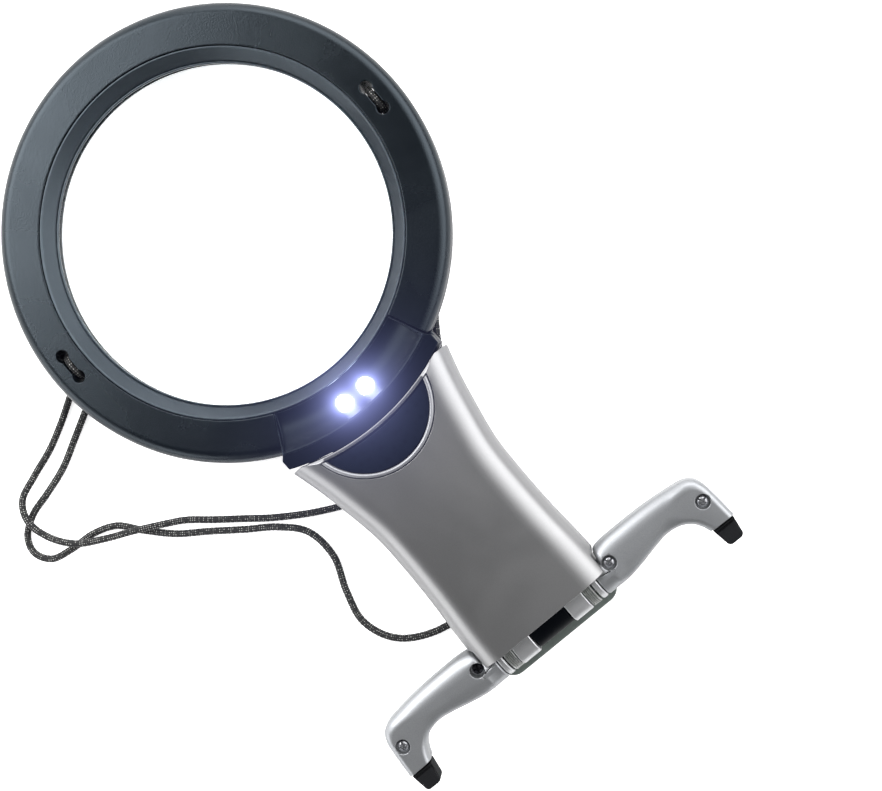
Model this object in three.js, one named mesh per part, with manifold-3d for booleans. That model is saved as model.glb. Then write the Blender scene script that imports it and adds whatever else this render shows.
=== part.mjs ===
// A lighted magnifying glass with a neck cord and two folding rest legs.
//
// The ring holds a clear biconvex lens. A hood at its foot holds two lamps. The handle
// holds three cells, the switch and its half-moon button, and ends in a barrel hinge
// that carries the legs. Lengths are in millimetres, +Z is up, and the glass lies on
// its back with the lamps facing up.
//
// Every piece is drawn about the middle of the lens, with the handle running along -Y,
// and the whole is moved so that its origin is the middle of its footprint.

import * as THREE from 'three';
import { mergeVertices } from 'three/addons/utils/BufferGeometryUtils.js';
import Module from 'manifold-3d';

const wasm = await Module();
wasm.setup();

// Fits shared by every piece
const clearance = 0.3;
const overrun = 1;
const wall = 1.8;
const restHeight = 6.2;

// Lens
const lensRadius = 55.5;
const lensEdge = 2.5;
const lensFocalLength = 250;
const acrylicIndex = 1.49;
const lensMidHeight = 12.55;
const lensLedge = 1.2;
const lensSeatThickness = 2.1;
const lensFaceRings = 4;

// Ring, from the collar that holds the lens outwards
const collarWall = 3;
const collarFootWidth = 2.4;
const collarChamfer = 0.4;
const ringWidth = 13.9;
const ringDepth = 13.5;
const ringEdgeRadius = 3.4;
const ringBoreChamfer = 0.5;

// Bevelled ring that holds the lens down
const bevelDrop = 4.2;
const bevelRim = 0.5;

// Cord holes through the ring
const cordDiameter = 2.3;
const holeInset = 5.6;
const holeSpacing = 8.3;
const holeRadius = 2.05;
const channelWidth = 2.7;
const channelDepth = 3.9;
const bossWall = 1.4;

// Screws that close the ring
const frameScrewCount = 4;
const frameWellDepth = 1.6;
const frameBossRadius = 3.9;

// Hood over the lamps
const hoodHalfAngle = 23.8;
const hoodBase = 14.9;
const hoodRidgeInset = 0.7;
const hoodRise = 5;
const hoodBand = 0.8;
const hoodRim = 0.9;
const scoopDepth = 1.5;
const hoodFloor = 1.5;

// Lamps
const lampDiameter = 5;
const lampSpacing = 8.6;
const lampLength = 7;
const lampTilt = 38;
const lampFlange = 0.5;
const lampFlangeHeight = 1;
const lampTipInset = 5.5;
const lampTipRise = 2.7;
const lampBoardThickness = 1.2;
const lampBoardWidth = 20;

// Neck of the ring, which the handle's shells close round
const neckLength = 4.8;
const neckEdge = 1.2;
const tongueHalfWidth = 19;
const tongueThickness = 3.5;
const tongueLength = 15.2;

// Handle
const handleDepth = 19;
const shoulderHalfWidth = 31.7;
const waistHalfWidth = 24.2;
const footHalfWidth = 25.6;
const faceHalfWidth = 17.9;
const backHalfWidth = 20.5;
const frontRound = 7.3;
const backRound = 6;
const endWall = 6.9;

// Half-moon light button, with the bright bead round its lower edge
const buttonRadius = 20.4;
const buttonInset = 6.4;
const beadWidth = 1.35;
const beadRise = 0.65;
const bezelLip = 1.3;
const bezelLipThickness = 1.2;
const buttonRim = 1.2;
const buttonRise = 0.3;
const buttonDepth = 5.2;
const buttonFlange = 1.3;
const buttonEdge = 0.5;
const buttonTravel = 1;
const stemRadius = 2.5;
const stemInset = 8.2;

// Switch under the button
const switchSide = 8.5;
const plungerRadius = 1.8;
const plungerRise = 0.9;
const switchBoardHalfWidth = 12;
const switchBoardThickness = 1.6;

// Cells and their tray
const cellDiameter = 10.5;
const cellLength = 43.7;
const cellNubLength = 0.8;
const cellNubRadius = 1.9;
const cellCount = 3;
const cellGap = 0.75;
const cellEdge = 0.4;
const trayInset = 4.6;
const trayHalfWidth = 19;
const trayRim = 1.85;
const trayEndWall = 1.6;
const contactThickness = 0.5;
const springWire = 0.6;
const springLength = 3.3;
const springRadius = 2.6;
const springTurns = 3;

// Battery door and the soft foot at its end
const doorInset = 1;
const doorHalfWidth = 17.1;
const doorRail = 1.2;
const doorRailThickness = 0.6;
const doorGrooveCount = 5;
const doorGroovePitch = 2.4;
const doorGrooveDepth = 0.5;
const doorGrooveHalfLength = 8;
const doorTongueHalfWidth = 14;
const doorTongueLength = 6;
const footLength = 10.8;
const footHalfSpan = 23.5;
const footTop = 7.9;
const footCorner = 5;
const footDraft = 1.4;

// Barrel hinge, from its middle outwards
const barrelInset = 2;
const barrelRadius = 5.5;
const axleRadius = 2;
const axleGrip = 3;
const sleeveHalfLength = 6.9;
const sleeveRadius = 4.9;
const sleeveBore = 3.7;
const lugWidth = 7;
const lugHalfHeight = 5.3;
const lugChamfer = 2.1;
const lugRoot = 7.4;
const lugBarThickness = 1.1;
const collarWidth = 3;
const hingeSeam = 0.6;
const frictionRingWidth = 2;
const hingeSpringWire = 0.7;
const hingeSpringRadius = 2.85;
const hingeSpringTurns = 5;

// Legs
const legRootLength = 4.3;
const legLength = 41.6;
const legRise = 10.5;
const legDrop = 10;
const legEdge = 2.3;
const legTaper = 0.14;
const legNotchRadius = 10.2;
const wellRadius = 2.4;
const wellDepth = 1.9;
const rootScrewInset = 2.5;
const rootScrewRise = 2.9;
const footScrewInset = 4.9;
const footScrewDrop = 0.9;
const tipLength = 7.1;
const tipWidth = 7.7;
const tipInset = 0.6;
const tipDraft = 0.8;
const tipDepth = 7.6;
const tipCorner = 1.6;
const tenonWidth = 4.4;
const tenonDepth = 4.2;
const tenonLength = 3.6;

// Screws
const screwHeadRadius = 2;
const screwHeadHeight = 1.3;
const screwShankRadius = 1.05;
const screwLength = 6.6;
const shellScrewLength = 4;
const crossWidth = 0.55;
const crossDepth = 0.6;
const shellScrewReach = 12;
const shellScrewInset = 9.2;

// Neck cord
const cordHeight = 1.25;
const exitDepth = 0.8;
const coilTurnsPerLayer = 4.5;
const coilPitch = 2.75;
const coilMidDiameters = 11;
const coilInset = 32.3;
const bandGap = 1.2;
const bandSteps = 5;
const cordSides = 8;
const coilSides = 6;
const coilStepsPerTurn = 24;

// Facets
const ringSegments = 46;
const roundSegments = 20;
const smallSegments = 10;
const filletSegments = 3;
const edgeSegments = 2;
const wireSides = 4;
const wireStepsPerTurn = 8;
const bightSteps = 8;
const exitSteps = 4;

// Levels worked out from the sizes above
const ringBack = restHeight;
const ringFace = ringBack + ringDepth;
const ringParting = ringBack + ringDepth / 2;
const handleBack = restHeight;
const handleFace = handleBack + handleDepth;
const axisHeight = handleBack + handleDepth / 2;
const innerFloor = handleBack + wall;
const cellHeight = innerFloor + clearance + cellDiameter / 2;
const trayTop = cellHeight + cellDiameter / 2 + trayRim;
const lensCurve = 2 * (acrylicIndex - 1) * lensFocalLength;
const lensTopEdge = lensMidHeight + lensEdge / 2;
const lensBackEdge = lensMidHeight - lensEdge / 2;
const hoodRidgeHeight = ringFace + hoodRise;
const lampTipHeight = ringFace + lampTipRise;

// Radii about the lens, worked out from the sizes above
const collarOuterRadius = lensRadius + clearance + collarWall;
const ringBoreRadius = collarOuterRadius + clearance;
const ringOuterRadius = ringBoreRadius + ringWidth;
const bevelOuterRadius = collarOuterRadius - clearance;
const bevelInnerRadius = lensRadius - lensLedge;
const holeCircle = ringBoreRadius + holeInset;
const frameScrewCircle = (ringBoreRadius + ringOuterRadius) / 2;
const hoodRidgeRadius = ringOuterRadius - hoodRidgeInset;
const handleTopRadius = ringOuterRadius + neckLength;
const hoodOuterRadius = handleTopRadius - clearance;
const neckHalfWidth = shoulderHalfWidth - wall / 2;

// Places down from the middle of the lens, worked out from the sizes above
const lampTipReach = ringBoreRadius + lampTipInset;
const buttonCentre = handleTopRadius - buttonInset;
const stemReach = handleTopRadius + stemInset;
const shellScrewDown = handleTopRadius + shellScrewInset;
const tongueEnd = handleTopRadius + tongueLength;
const trayStart = tongueEnd + trayInset;
const bayStart = trayStart + trayEndWall;
const cellStart = bayStart + contactThickness + 2 * clearance;
const cellEnd = cellStart + cellNubLength + cellLength;
const bayEnd = cellEnd + clearance + springLength + 2 * clearance + contactThickness;
const trayEnd = bayEnd + trayEndWall;
const handleEnd = trayEnd + clearance + endWall;
const doorStart = trayStart + doorInset;
const footStart = handleEnd + 2 * clearance;
const footEnd = footStart + footLength;
const coilCentreReach = handleEnd - coilInset;
const barrelReach = handleEnd + barrelInset;
const legTop = barrelReach - legRise;
const legHeel = barrelReach + legDrop;
const legRootBottom = barrelReach + barrelRadius;
const legEnd = legHeel + tipLength;
const ringCentreY = (legEnd - ringOuterRadius) / 2;

// Places across the handle, worked out from the sizes above
const lugOuter = sleeveHalfLength + clearance + lugWidth;
const collarEnd = lugOuter + clearance + collarWidth;
const frictionRingEnd = collarEnd + hingeSeam + frictionRingWidth;
const axleHalfLength = frictionRingEnd + axleGrip;
const legStart = frictionRingEnd + legRootLength;
const legReach = legStart + legLength;
const tipOuter = legReach - tipInset;
const tipInner = tipOuter - tipWidth;
const legScrewPlaces = [
  ['root', legStart + rootScrewInset, barrelReach - rootScrewRise],
  ['foot', legReach - footScrewInset, barrelReach + footScrewDrop],
];
const degrees = Math.PI / 180;

// Materials
function material(color, roughness, metalness, extra = {}) {
  return new THREE.MeshStandardMaterial({ color, roughness, metalness, ...extra });
}
const satinBlack = material(0x23282f, 0.6, 0);
const bevelBlack = material(0x4b5258, 0.45, 0);
const glossBlack = material(0x141a2a, 0.18, 0);
const clearAcrylic = material(0xf4f8fa, 0.03, 0, { transparent: true, opacity: 0.25 });
const silver = material(0xa9abad, 0.35, 0.75);
const brightSilver = material(0xc9cbcd, 0.25, 0.85);
const darkSilver = material(0x7d8083, 0.4, 0.7);
const steel = material(0xb8babc, 0.3, 1);
const lampWhite = material(0xffffff, 0.15, 0, { emissive: 0xdfe6ff });
const boardGreen = material(0x1f5a3c, 0.5, 0);
const softBlack = material(0x1b1d1f, 0.85, 0);
const footGrey = material(0x3f4644, 0.8, 0);
const trayBlack = material(0x202122, 0.55, 0);
const cellJacket = material(0x8d9296, 0.4, 0.3);
const cordBlack = material(0x1c1d1e, 0.9, 0);

// Solids: three.js geometry made ready for cutting and joining, and back again

function signedVolume(vertices, triangles) {
  const a = new THREE.Vector3();
  const b = new THREE.Vector3();
  const c = new THREE.Vector3();
  let volume = 0;
  for (let i = 0; i < triangles.length; i += 3) {
    a.fromArray(vertices, 3 * triangles[i]);
    b.fromArray(vertices, 3 * triangles[i + 1]);
    c.fromArray(vertices, 3 * triangles[i + 2]);
    volume += a.dot(b.cross(c));
  }
  return volume / 6;
}

function solid(geometry) {
  const plain = geometry.clone();
  for (const name of Object.keys(plain.attributes)) {
    if (name !== 'position') plain.deleteAttribute(name);
  }
  const merged = mergeVertices(plain);
  const vertProperties = new Float32Array(merged.attributes.position.array);
  const corners = Array.from(merged.index.array);
  const kept = [];
  for (let i = 0; i < corners.length; i += 3) {
    const [a, b, c] = corners.slice(i, i + 3);
    if (a !== b && b !== c && c !== a) kept.push(a, b, c);
  }
  if (signedVolume(vertProperties, kept) < 0) kept.reverse();
  const triVerts = new Uint32Array(kept);
  return new wasm.Manifold(new wasm.Mesh({ numProp: 3, vertProperties, triVerts }));
}

function toGeometry(body) {
  const mesh = body.getMesh();
  const geometry = new THREE.BufferGeometry();
  geometry.setAttribute('position', new THREE.BufferAttribute(mesh.vertProperties, 3));
  geometry.setIndex(new THREE.BufferAttribute(mesh.triVerts, 1));
  const flat = geometry.toNonIndexed();
  flat.computeVertexNormals();
  return flat;
}

function join(first, ...others) {
  return others.reduce((sum, other) => sum.add(other), first);
}

function cut(first, ...others) {
  return others.reduce((rest, other) => rest.subtract(other), first);
}

// Shapes in plan are drawn as (x, down), with down measured from the lens towards the feet
function plan(points) {
  return new THREE.Shape(points.map(([x, down]) => new THREE.Vector2(x, -down)));
}

function extrude(shape, bottom, top, edge = 0) {
  const geometry = new THREE.ExtrudeGeometry(shape, {
    depth: top - bottom - 2 * edge,
    bevelEnabled: edge > 0,
    bevelThickness: edge,
    bevelSize: edge,
    bevelOffset: -edge,
    bevelSegments: edgeSegments,
    curveSegments: roundSegments,
  });
  geometry.translate(0, 0, bottom + edge);
  return solid(geometry);
}

// A block between two corners, given as across, down and up
function block([x0, down0, z0], [x1, down1, z1]) {
  const geometry = new THREE.BoxGeometry(x1 - x0, down1 - down0, z1 - z0);
  geometry.translate((x0 + x1) / 2, -(down0 + down1) / 2, (z0 + z1) / 2);
  return solid(geometry);
}

// A round pin standing up, centred at (x, down)
function pin(x, down, radius, bottom, top, segments = smallSegments) {
  const geometry = new THREE.CylinderGeometry(radius, radius, top - bottom, segments);
  geometry.rotateX(Math.PI / 2);
  geometry.translate(x, -down, (bottom + top) / 2);
  return solid(geometry);
}

// A round bar lying across the handle, on the hinge's axis
function bar(x0, x1, radius, segments = roundSegments) {
  const geometry = new THREE.CylinderGeometry(radius, radius, x1 - x0, segments);
  geometry.rotateZ(-Math.PI / 2);
  geometry.translate((x0 + x1) / 2, -barrelReach, axisHeight);
  return solid(geometry);
}

// A closed profile of (radius, height) turned about the lens's axis
function turn(profile, segments = ringSegments) {
  const points = profile.map(([radius, height]) => new THREE.Vector2(radius, height));
  if (points[0].x > 0 || points[points.length - 1].x > 0) points.push(points[0].clone());
  const geometry = new THREE.LatheGeometry(points, segments);
  geometry.rotateX(Math.PI / 2);
  return solid(geometry);
}

// Points on an arc about (x, y), from one angle to another
function arc(x, y, radius, from, to, steps = filletSegments) {
  const points = [];
  for (let i = 0; i <= steps; i++) {
    const angle = (from + ((to - from) * i) / steps) * degrees;
    points.push([x + radius * Math.cos(angle), y + radius * Math.sin(angle)]);
  }
  return points;
}

function quarter(x, y, across, up, from, to, steps) {
  return arc(0, 0, 1, from, to, steps).map(([u, v]) => [x + across * u, y + up * v]);
}

// Joins rings of points, each with the same count, into one closed body
function loft(rings) {
  const count = rings[0].length;
  const positions = rings.flat().flatMap((point) => [point.x, point.y, point.z]);
  const index = [];
  for (let i = 0; i + 1 < rings.length; i++) {
    for (let j = 0; j < count; j++) {
      const a = i * count + j;
      const b = i * count + ((j + 1) % count);
      index.push(a, b, b + count, a, b + count, a + count);
    }
  }
  const last = (rings.length - 1) * count;
  for (let j = 1; j + 1 < count; j++) {
    index.push(0, j + 1, j);
    index.push(last, last + j, last + j + 1);
  }
  const geometry = new THREE.BufferGeometry();
  geometry.setAttribute('position', new THREE.Float32BufferAttribute(positions, 3));
  geometry.setIndex(index);
  return solid(geometry);
}

// A route whose steps follow its own points, so that they lie closer in a bend
class Route extends THREE.CatmullRomCurve3 {
  getPointAt(share, target) {
    return this.getPoint(share, target);
  }

  getTangentAt(share, target) {
    return this.getTangent(share, target);
  }
}

class Winding extends THREE.Curve {
  constructor(place) {
    super();
    this.place = place;
  }

  getPoint(share, target = new THREE.Vector3()) {
    return target.copy(this.place(share));
  }

  getPointAt(share, target) {
    return this.getPoint(share, target);
  }

  getTangentAt(share, target) {
    return this.getTangent(share, target);
  }
}

function tube(path, radius, sides, steps) {
  const section = new THREE.Shape(
    arc(0, 0, radius, 0, 360, sides).slice(0, sides).map(([x, y]) => new THREE.Vector2(x, y)),
  );
  return solid(new THREE.ExtrudeGeometry(section, { steps, extrudePath: path, curveSegments: 1 }));
}

// Plan shape of a sector between two radii, about the handle's axis
function sector(inner, outer, halfAngle) {
  const far = arc(0, 0, outer, 90 - halfAngle, 90 + halfAngle, roundSegments / 2);
  const near = arc(0, 0, inner, 90 + halfAngle, 90 - halfAngle, roundSegments / 2);
  return plan([...far, ...near]);
}

function mirrored(body) {
  return body.mirror([1, 0, 0]);
}

// Lens

function lensFace(radius) {
  const reach = Math.sqrt(lensCurve * lensCurve - radius * radius);
  return reach - Math.sqrt(lensCurve * lensCurve - lensRadius * lensRadius);
}

function makeLens() {
  const profile = [];
  for (let i = 0; i <= lensFaceRings; i++) {
    const radius = (lensRadius * i) / lensFaceRings;
    profile.push([radius, lensBackEdge - lensFace(radius)]);
  }
  for (let i = lensFaceRings; i >= 0; i--) {
    const radius = (lensRadius * i) / lensFaceRings;
    profile.push([radius, lensTopEdge + lensFace(radius)]);
  }
  return turn(profile);
}

function makeRetainingRing() {
  const top = ringFace - clearance;
  const bottom = lensTopEdge + lensFace(bevelInnerRadius) + clearance;
  return turn([
    [bevelInnerRadius, bottom],
    [bevelOuterRadius, bottom],
    [bevelOuterRadius, top - bevelRim],
    [bevelOuterRadius - bevelRim, top],
    [bevelInnerRadius + clearance, top - bevelDrop],
    [bevelInnerRadius, top - bevelDrop - clearance],
  ]);
}

// Ring

const frameScrewAngles = Array.from(
  { length: frameScrewCount },
  (_, i) => (i + 1 / 2) * (360 / frameScrewCount),
);

function frameScrewPlace(angle) {
  return [frameScrewCircle * Math.cos(angle * degrees), frameScrewCircle * Math.sin(angle * degrees)];
}

function cordHolePlaces() {
  return [-1, 1].flatMap((side) => [-1, 1].map((end) => [side * holeCircle, (end * holeSpacing) / 2]));
}

function cordBoss(side) {
  const halfWidth = holeRadius + bossWall;
  const halfLength = holeSpacing / 2 + holeRadius + bossWall;
  const x = side * holeCircle;
  return block(
    [x - halfWidth, -halfLength, innerFloor + clearance],
    [x + halfWidth, halfLength, ringFace - wall / 2],
  );
}

function cordChannel(side) {
  const x = side * holeCircle;
  return block(
    [x - channelWidth / 2, -holeSpacing / 2, ringFace - channelDepth],
    [x + channelWidth / 2, holeSpacing / 2, ringFace + overrun],
  );
}

function cordHoles(bottom, top) {
  return join(...cordHolePlaces().map(([x, down]) => pin(x, down, holeRadius, bottom, top)));
}

function makeFrontFrame() {
  const bottom = ringParting + clearance / 2;
  const inner = ringOuterRadius - wall;
  const centre = ringOuterRadius - ringEdgeRadius;
  const innerRound = ringEdgeRadius - wall / 2;
  const shell = turn([
    [ringOuterRadius, bottom],
    ...arc(centre, ringFace - ringEdgeRadius, ringEdgeRadius, 0, 90),
    [ringBoreRadius + ringBoreChamfer, ringFace],
    [ringBoreRadius, ringFace - ringBoreChamfer],
    [ringBoreRadius, innerFloor + clearance],
    [ringBoreRadius + wall, innerFloor + clearance],
    [ringBoreRadius + wall, ringFace - wall],
    [inner - innerRound, ringFace - wall],
    [inner, ringFace - wall - innerRound],
    [inner, bottom],
  ]);
  const posts = frameScrewAngles.map((angle) => {
    const [x, down] = frameScrewPlace(angle);
    return pin(x, down, frameBossRadius - wall / 2, frameWellTop + clearance, ringFace - wall / 2);
  });
  const pilots = frameScrewAngles.map((angle) => {
    const [x, down] = frameScrewPlace(angle);
    return pin(x, down, screwShankRadius + clearance, ringBack, ringBack + screwLength + 2 * wall);
  });
  const hoodSeat = extrude(
    sector(ringBoreRadius - overrun, ringOuterRadius + overrun, hoodHalfAngle + clearance),
    hoodBase - clearance,
    ringFace + overrun,
  );
  const neckSeat = block(
    [-neckHalfWidth - clearance, hoodShoulderDown(), hoodBase - clearance],
    [neckHalfWidth + clearance, ringOuterRadius + overrun, ringFace + overrun],
  );
  const neckRoom = block(
    [-neckHalfWidth - clearance, neckStart - clearance, 0],
    [neckHalfWidth + clearance, ringOuterRadius + overrun, hoodBase],
  );
  const body = join(shell, ...posts, cordBoss(-1), cordBoss(1));
  return cut(
    body,
    ...pilots,
    cordHoles(0, ringFace + overrun),
    cordChannel(-1),
    cordChannel(1),
    hoodSeat,
    neckSeat,
    neckRoom,
  );
}

const frameWellTop = ringBack + frameWellDepth + wall;
const neckStart = Math.sqrt(ringOuterRadius ** 2 - neckHalfWidth ** 2);

function makeBackFrame() {
  const top = ringParting - clearance / 2;
  const inner = ringOuterRadius - wall;
  const centre = ringOuterRadius - ringEdgeRadius;
  const innerRound = ringEdgeRadius - wall / 2;
  const ledge = lensBackEdge - lensFace(bevelInnerRadius) - clearance;
  const seat = lensRadius + clearance;
  const footInner = collarOuterRadius - collarFootWidth;
  const shell = turn([
    [footInner, collarChamfer],
    [footInner + collarChamfer, 0],
    [collarOuterRadius - collarChamfer, 0],
    [collarOuterRadius, collarChamfer],
    [collarOuterRadius, ringBack],
    ...arc(centre, ringBack + ringEdgeRadius, ringEdgeRadius, -90, 0),
    [ringOuterRadius, top],
    [inner, top],
    [inner, innerFloor + innerRound],
    [inner - innerRound, innerFloor],
    [collarOuterRadius, innerFloor],
    [collarOuterRadius, lensTopEdge + clearance],
    [seat, lensTopEdge + clearance],
    [seat, ledge],
    [seat - lensLedge - clearance, ledge],
    [seat - lensLedge - clearance, ledge - lensSeatThickness],
    [footInner, ringBack],
  ]);
  const posts = frameScrewAngles.map((angle) => {
    const [x, down] = frameScrewPlace(angle);
    return pin(x, down, frameBossRadius, ringBack + wall / 2, frameWellTop);
  });
  const wells = frameScrewAngles.flatMap((angle) => {
    const [x, down] = frameScrewPlace(angle);
    return [
      pin(x, down, screwHeadRadius + clearance, 0, ringBack + frameWellDepth),
      pin(x, down, screwShankRadius + clearance, 0, frameWellTop + overrun),
    ];
  });
  const body = join(shell, ...posts, makeNeck());
  return cut(body, ...wells, cordHoles(0, innerFloor + overrun), ...tongueScrewHoles());
}

// The neck fills the space between the ring and the handle's shells
function makeNeck() {
  const outer = handleTopRadius - clearance;
  const reach = Math.asin(neckHalfWidth / outer) / degrees;
  const outline = plan([
    ...arc(0, 0, outer, 90 - reach, 90 + reach, roundSegments / 2),
    [-neckHalfWidth, neckStart],
    [neckHalfWidth, neckStart],
  ]);
  const yoke = extrude(outline, ringBack, hoodBase - clearance, neckEdge);
  const tongue = block(
    [-tongueHalfWidth, neckStart, innerFloor + clearance],
    [tongueHalfWidth, tongueEnd, innerFloor + clearance + tongueThickness],
  );
  const ringSpace = pin(0, 0, ringOuterRadius - wall / 2, 0, ringFace, ringSegments);
  return cut(join(yoke, tongue), ringSpace);
}

const shellPadTop = handleBack + frameWellDepth + wall;

function tongueScrewHoles() {
  return [-1, 1].flatMap((side) => [
    pin(side * shellScrewReach, shellScrewDown, screwShankRadius + clearance, 0, ringFace),
    pin(side * shellScrewReach, shellScrewDown, frameBossRadius + clearance, 0, shellPadTop + clearance),
  ]);
}

// Hood

// The hood's side edge leaves the ring's rim here
function hoodShoulderDown() {
  return hoodRidgeRadius * Math.cos(hoodHalfAngle * degrees);
}

function hoodOutline(inner, outer) {
  const reach = Math.asin(neckHalfWidth / outer) / degrees;
  const edge = hoodRidgeRadius * Math.sin(hoodHalfAngle * degrees);
  const shoulder = hoodShoulderDown();
  const corner = Math.sqrt(outer * outer - neckHalfWidth * neckHalfWidth);
  const flare = shoulder + (corner - shoulder) / 3;
  return plan([
    ...arc(0, 0, inner, 90 + hoodHalfAngle, 90 - hoodHalfAngle, roundSegments / 2),
    [edge, shoulder],
    [neckHalfWidth, flare],
    ...arc(0, 0, outer, 90 - reach, 90 + reach, roundSegments / 2),
    [-neckHalfWidth, flare],
    [-edge, shoulder],
  ]);
}

// Top of the hood before it is dished: it climbs from the bore to the ridge
function makeHoodBlank() {
  return turn([
    [ringBoreRadius - overrun, hoodBase],
    [hoodOuterRadius + overrun, hoodBase],
    [hoodOuterRadius + overrun, hoodRidgeHeight - hoodBand],
    [hoodOuterRadius, hoodRidgeHeight - hoodBand],
    [hoodRidgeRadius + hoodRim, hoodRidgeHeight - clearance],
    [hoodRidgeRadius, hoodRidgeHeight],
    [ringBoreRadius, ringFace],
    [ringBoreRadius - overrun, ringFace],
  ]);
}

// The dish sinks below the ring's face, then sweeps up to the ridge
function makeScoop() {
  const start = ringBoreRadius - overrun;
  const far = hoodRidgeRadius - hoodRim;
  const low = (start + far) / 2;
  const floor = ringFace - scoopDepth;
  const sweep = quarter(low, hoodRidgeHeight, far - low, hoodRidgeHeight - floor, -90, 0, 2 * filletSegments);
  const dish = turn([
    [start, ringFace - clearance],
    [(start + low) / 2, floor + clearance],
    ...sweep,
    [far, hoodRidgeHeight + overrun],
    [start, hoodRidgeHeight + overrun],
  ]);
  const rimAngle = (hoodRim / hoodRidgeRadius) / degrees;
  const room = extrude(
    sector(start - overrun, hoodRidgeRadius + overrun, hoodHalfAngle - rimAngle),
    0,
    hoodRidgeHeight + 2 * overrun,
  );
  return dish.intersect(room);
}

function lampPlaced(geometry, side) {
  geometry.rotateX(Math.PI / 2);
  geometry.translate(0, 0, -lampLength);
  geometry.rotateX(-lampTilt * degrees);
  geometry.translate((side * lampSpacing) / 2, -lampTipReach, lampTipHeight);
  return solid(geometry);
}

function makeLamp(side) {
  const radius = lampDiameter / 2;
  const dome = arc(0, lampLength - radius, radius, 0, 90, filletSegments + 1);
  const profile = [
    [0, 0],
    [radius + lampFlange, 0],
    [radius + lampFlange, lampFlangeHeight],
    [radius, lampFlangeHeight],
    ...dome.slice(0, -1),
    [0, lampLength],
  ];
  const points = profile.map(([x, y]) => new THREE.Vector2(x, y));
  return lampPlaced(new THREE.LatheGeometry(points, smallSegments), side);
}

function lampBore(side) {
  const radius = lampDiameter / 2 + clearance;
  const geometry = new THREE.CylinderGeometry(radius, radius, 2 * lampLength, smallSegments);
  geometry.translate(0, lampLength, 0);
  return lampPlaced(geometry, side);
}

function lampPocket(side) {
  const radius = lampDiameter / 2 + lampFlange + clearance;
  const length = lampFlangeHeight + clearance + lampLength;
  const geometry = new THREE.CylinderGeometry(radius, radius, length, smallSegments);
  geometry.translate(0, lampFlangeHeight + clearance - length / 2, 0);
  return lampPlaced(geometry, side);
}

function makeHood() {
  const blank = makeHoodBlank().intersect(
    extrude(hoodOutline(ringBoreRadius, hoodOuterRadius), hoodBase, hoodRidgeHeight + overrun),
  );
  const boardRoom = block(
    [-lampBoardWidth / 2 - clearance, lampBoardStart - clearance, 0],
    [lampBoardWidth / 2 + clearance, lampBoardEnd + clearance, ringFace - scoopDepth - hoodFloor],
  );
  return cut(
    blank,
    makeScoop(),
    boardRoom,
    ...[-1, 1].flatMap((side) => [lampBore(side), lampPocket(side)]),
  );
}

// The lamp board lies under the lamps, on the ring's inner wall and the neck
const lampBoardStart = lampTipReach - lampFlange;
const lampBoardEnd = Math.sqrt((ringOuterRadius - wall / 2) ** 2 - (lampBoardWidth / 2) ** 2) - clearance;

function makeLampBoard() {
  const top = hoodBase - clearance;
  return block(
    [-lampBoardWidth / 2, lampBoardStart, top - lampBoardThickness],
    [lampBoardWidth / 2, lampBoardEnd, top],
  );
}

// Handle

// Half width of the handle at a distance down from the lens
const downHandleShares = [0, 0.11, 0.22, 0.38, 0.54, 0.7, 0.86, 1];
const flareShares = [1, 0.65, 0.38, 0.06, 0, 0.03, 0.12, 0.16];
const handleStart = handleTopRadius - footCorner;

function handleProfile() {
  const flare = shoulderHalfWidth - waistHalfWidth;
  const lower = footHalfWidth - waistHalfWidth;
  const lastShare = flareShares[flareShares.length - 1];
  return new THREE.SplineCurve(downHandleShares.map((share, i) => {
    const spread = share < 1 / 2 ? flare * flareShares[i] : (lower * flareShares[i]) / lastShare;
    return new THREE.Vector2(handleStart + share * (handleEnd - handleStart), waistHalfWidth + spread);
  }));
}

// One cross-section: flat on its face, rounded to the flanks, open side down
function shellSection(down, halfWidth, flat, height, round, up, base) {
  const right = quarter(flat, height - round, halfWidth - flat, round, 0, 90, filletSegments + 1);
  const left = right.map(([x, z]) => [-x, z]).reverse();
  const outline = [[halfWidth, base], ...right, ...left, [-halfWidth, base]];
  return outline.map(([x, z]) => new THREE.Vector3(x, -down, axisHeight + up * z));
}

function shellBody(inset, up, flat, round, from, to, base) {
  const height = handleDepth / 2 - inset;
  const profile = handleProfile();
  const rings = downHandleShares.map((share) => {
    const point = profile.getPoint(share);
    const down = from + ((to - from) * (point.x - handleStart)) / (handleEnd - handleStart);
    return shellSection(down, point.y - inset, flat - inset / 2, height, round - inset / 2, up, base);
  });
  return loft(rings);
}

function makeShell(up, flat, round) {
  const base = clearance / 2;
  const outer = shellBody(0, up, flat, round, handleStart, handleEnd, base);
  const inner = shellBody(wall, up, flat, round, handleStart - overrun, handleEnd - endWall, -overrun);
  return cut(
    outer,
    inner,
    pin(0, 0, handleTopRadius, 0, handleFace + overrun, ringSegments),
    bar(-footHalfWidth - overrun, footHalfWidth + overrun, barrelRadius + clearance + clearance / 2),
    hingePocket(),
    ...[-1, 1].map((side) => earNotch(side)),
  );
}

// Room for the hinge housing's roots in the handle's solid end
function hingePocket() {
  const half = lugHalfHeight + clearance;
  return block(
    [-lugOuter - clearance, barrelReach - lugRoot - clearance, axisHeight - half],
    [lugOuter + clearance, barrelReach + overrun, axisHeight + half],
  );
}

// Room for the leg's shoulder to swing beside the handle
function earNotch(side) {
  const inner = legStart - clearance - clearance / 2;
  const outer = footHalfWidth + overrun;
  return side > 0 ? bar(inner, outer, legNotchRadius) : bar(-outer, -inner, legNotchRadius);
}

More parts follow.
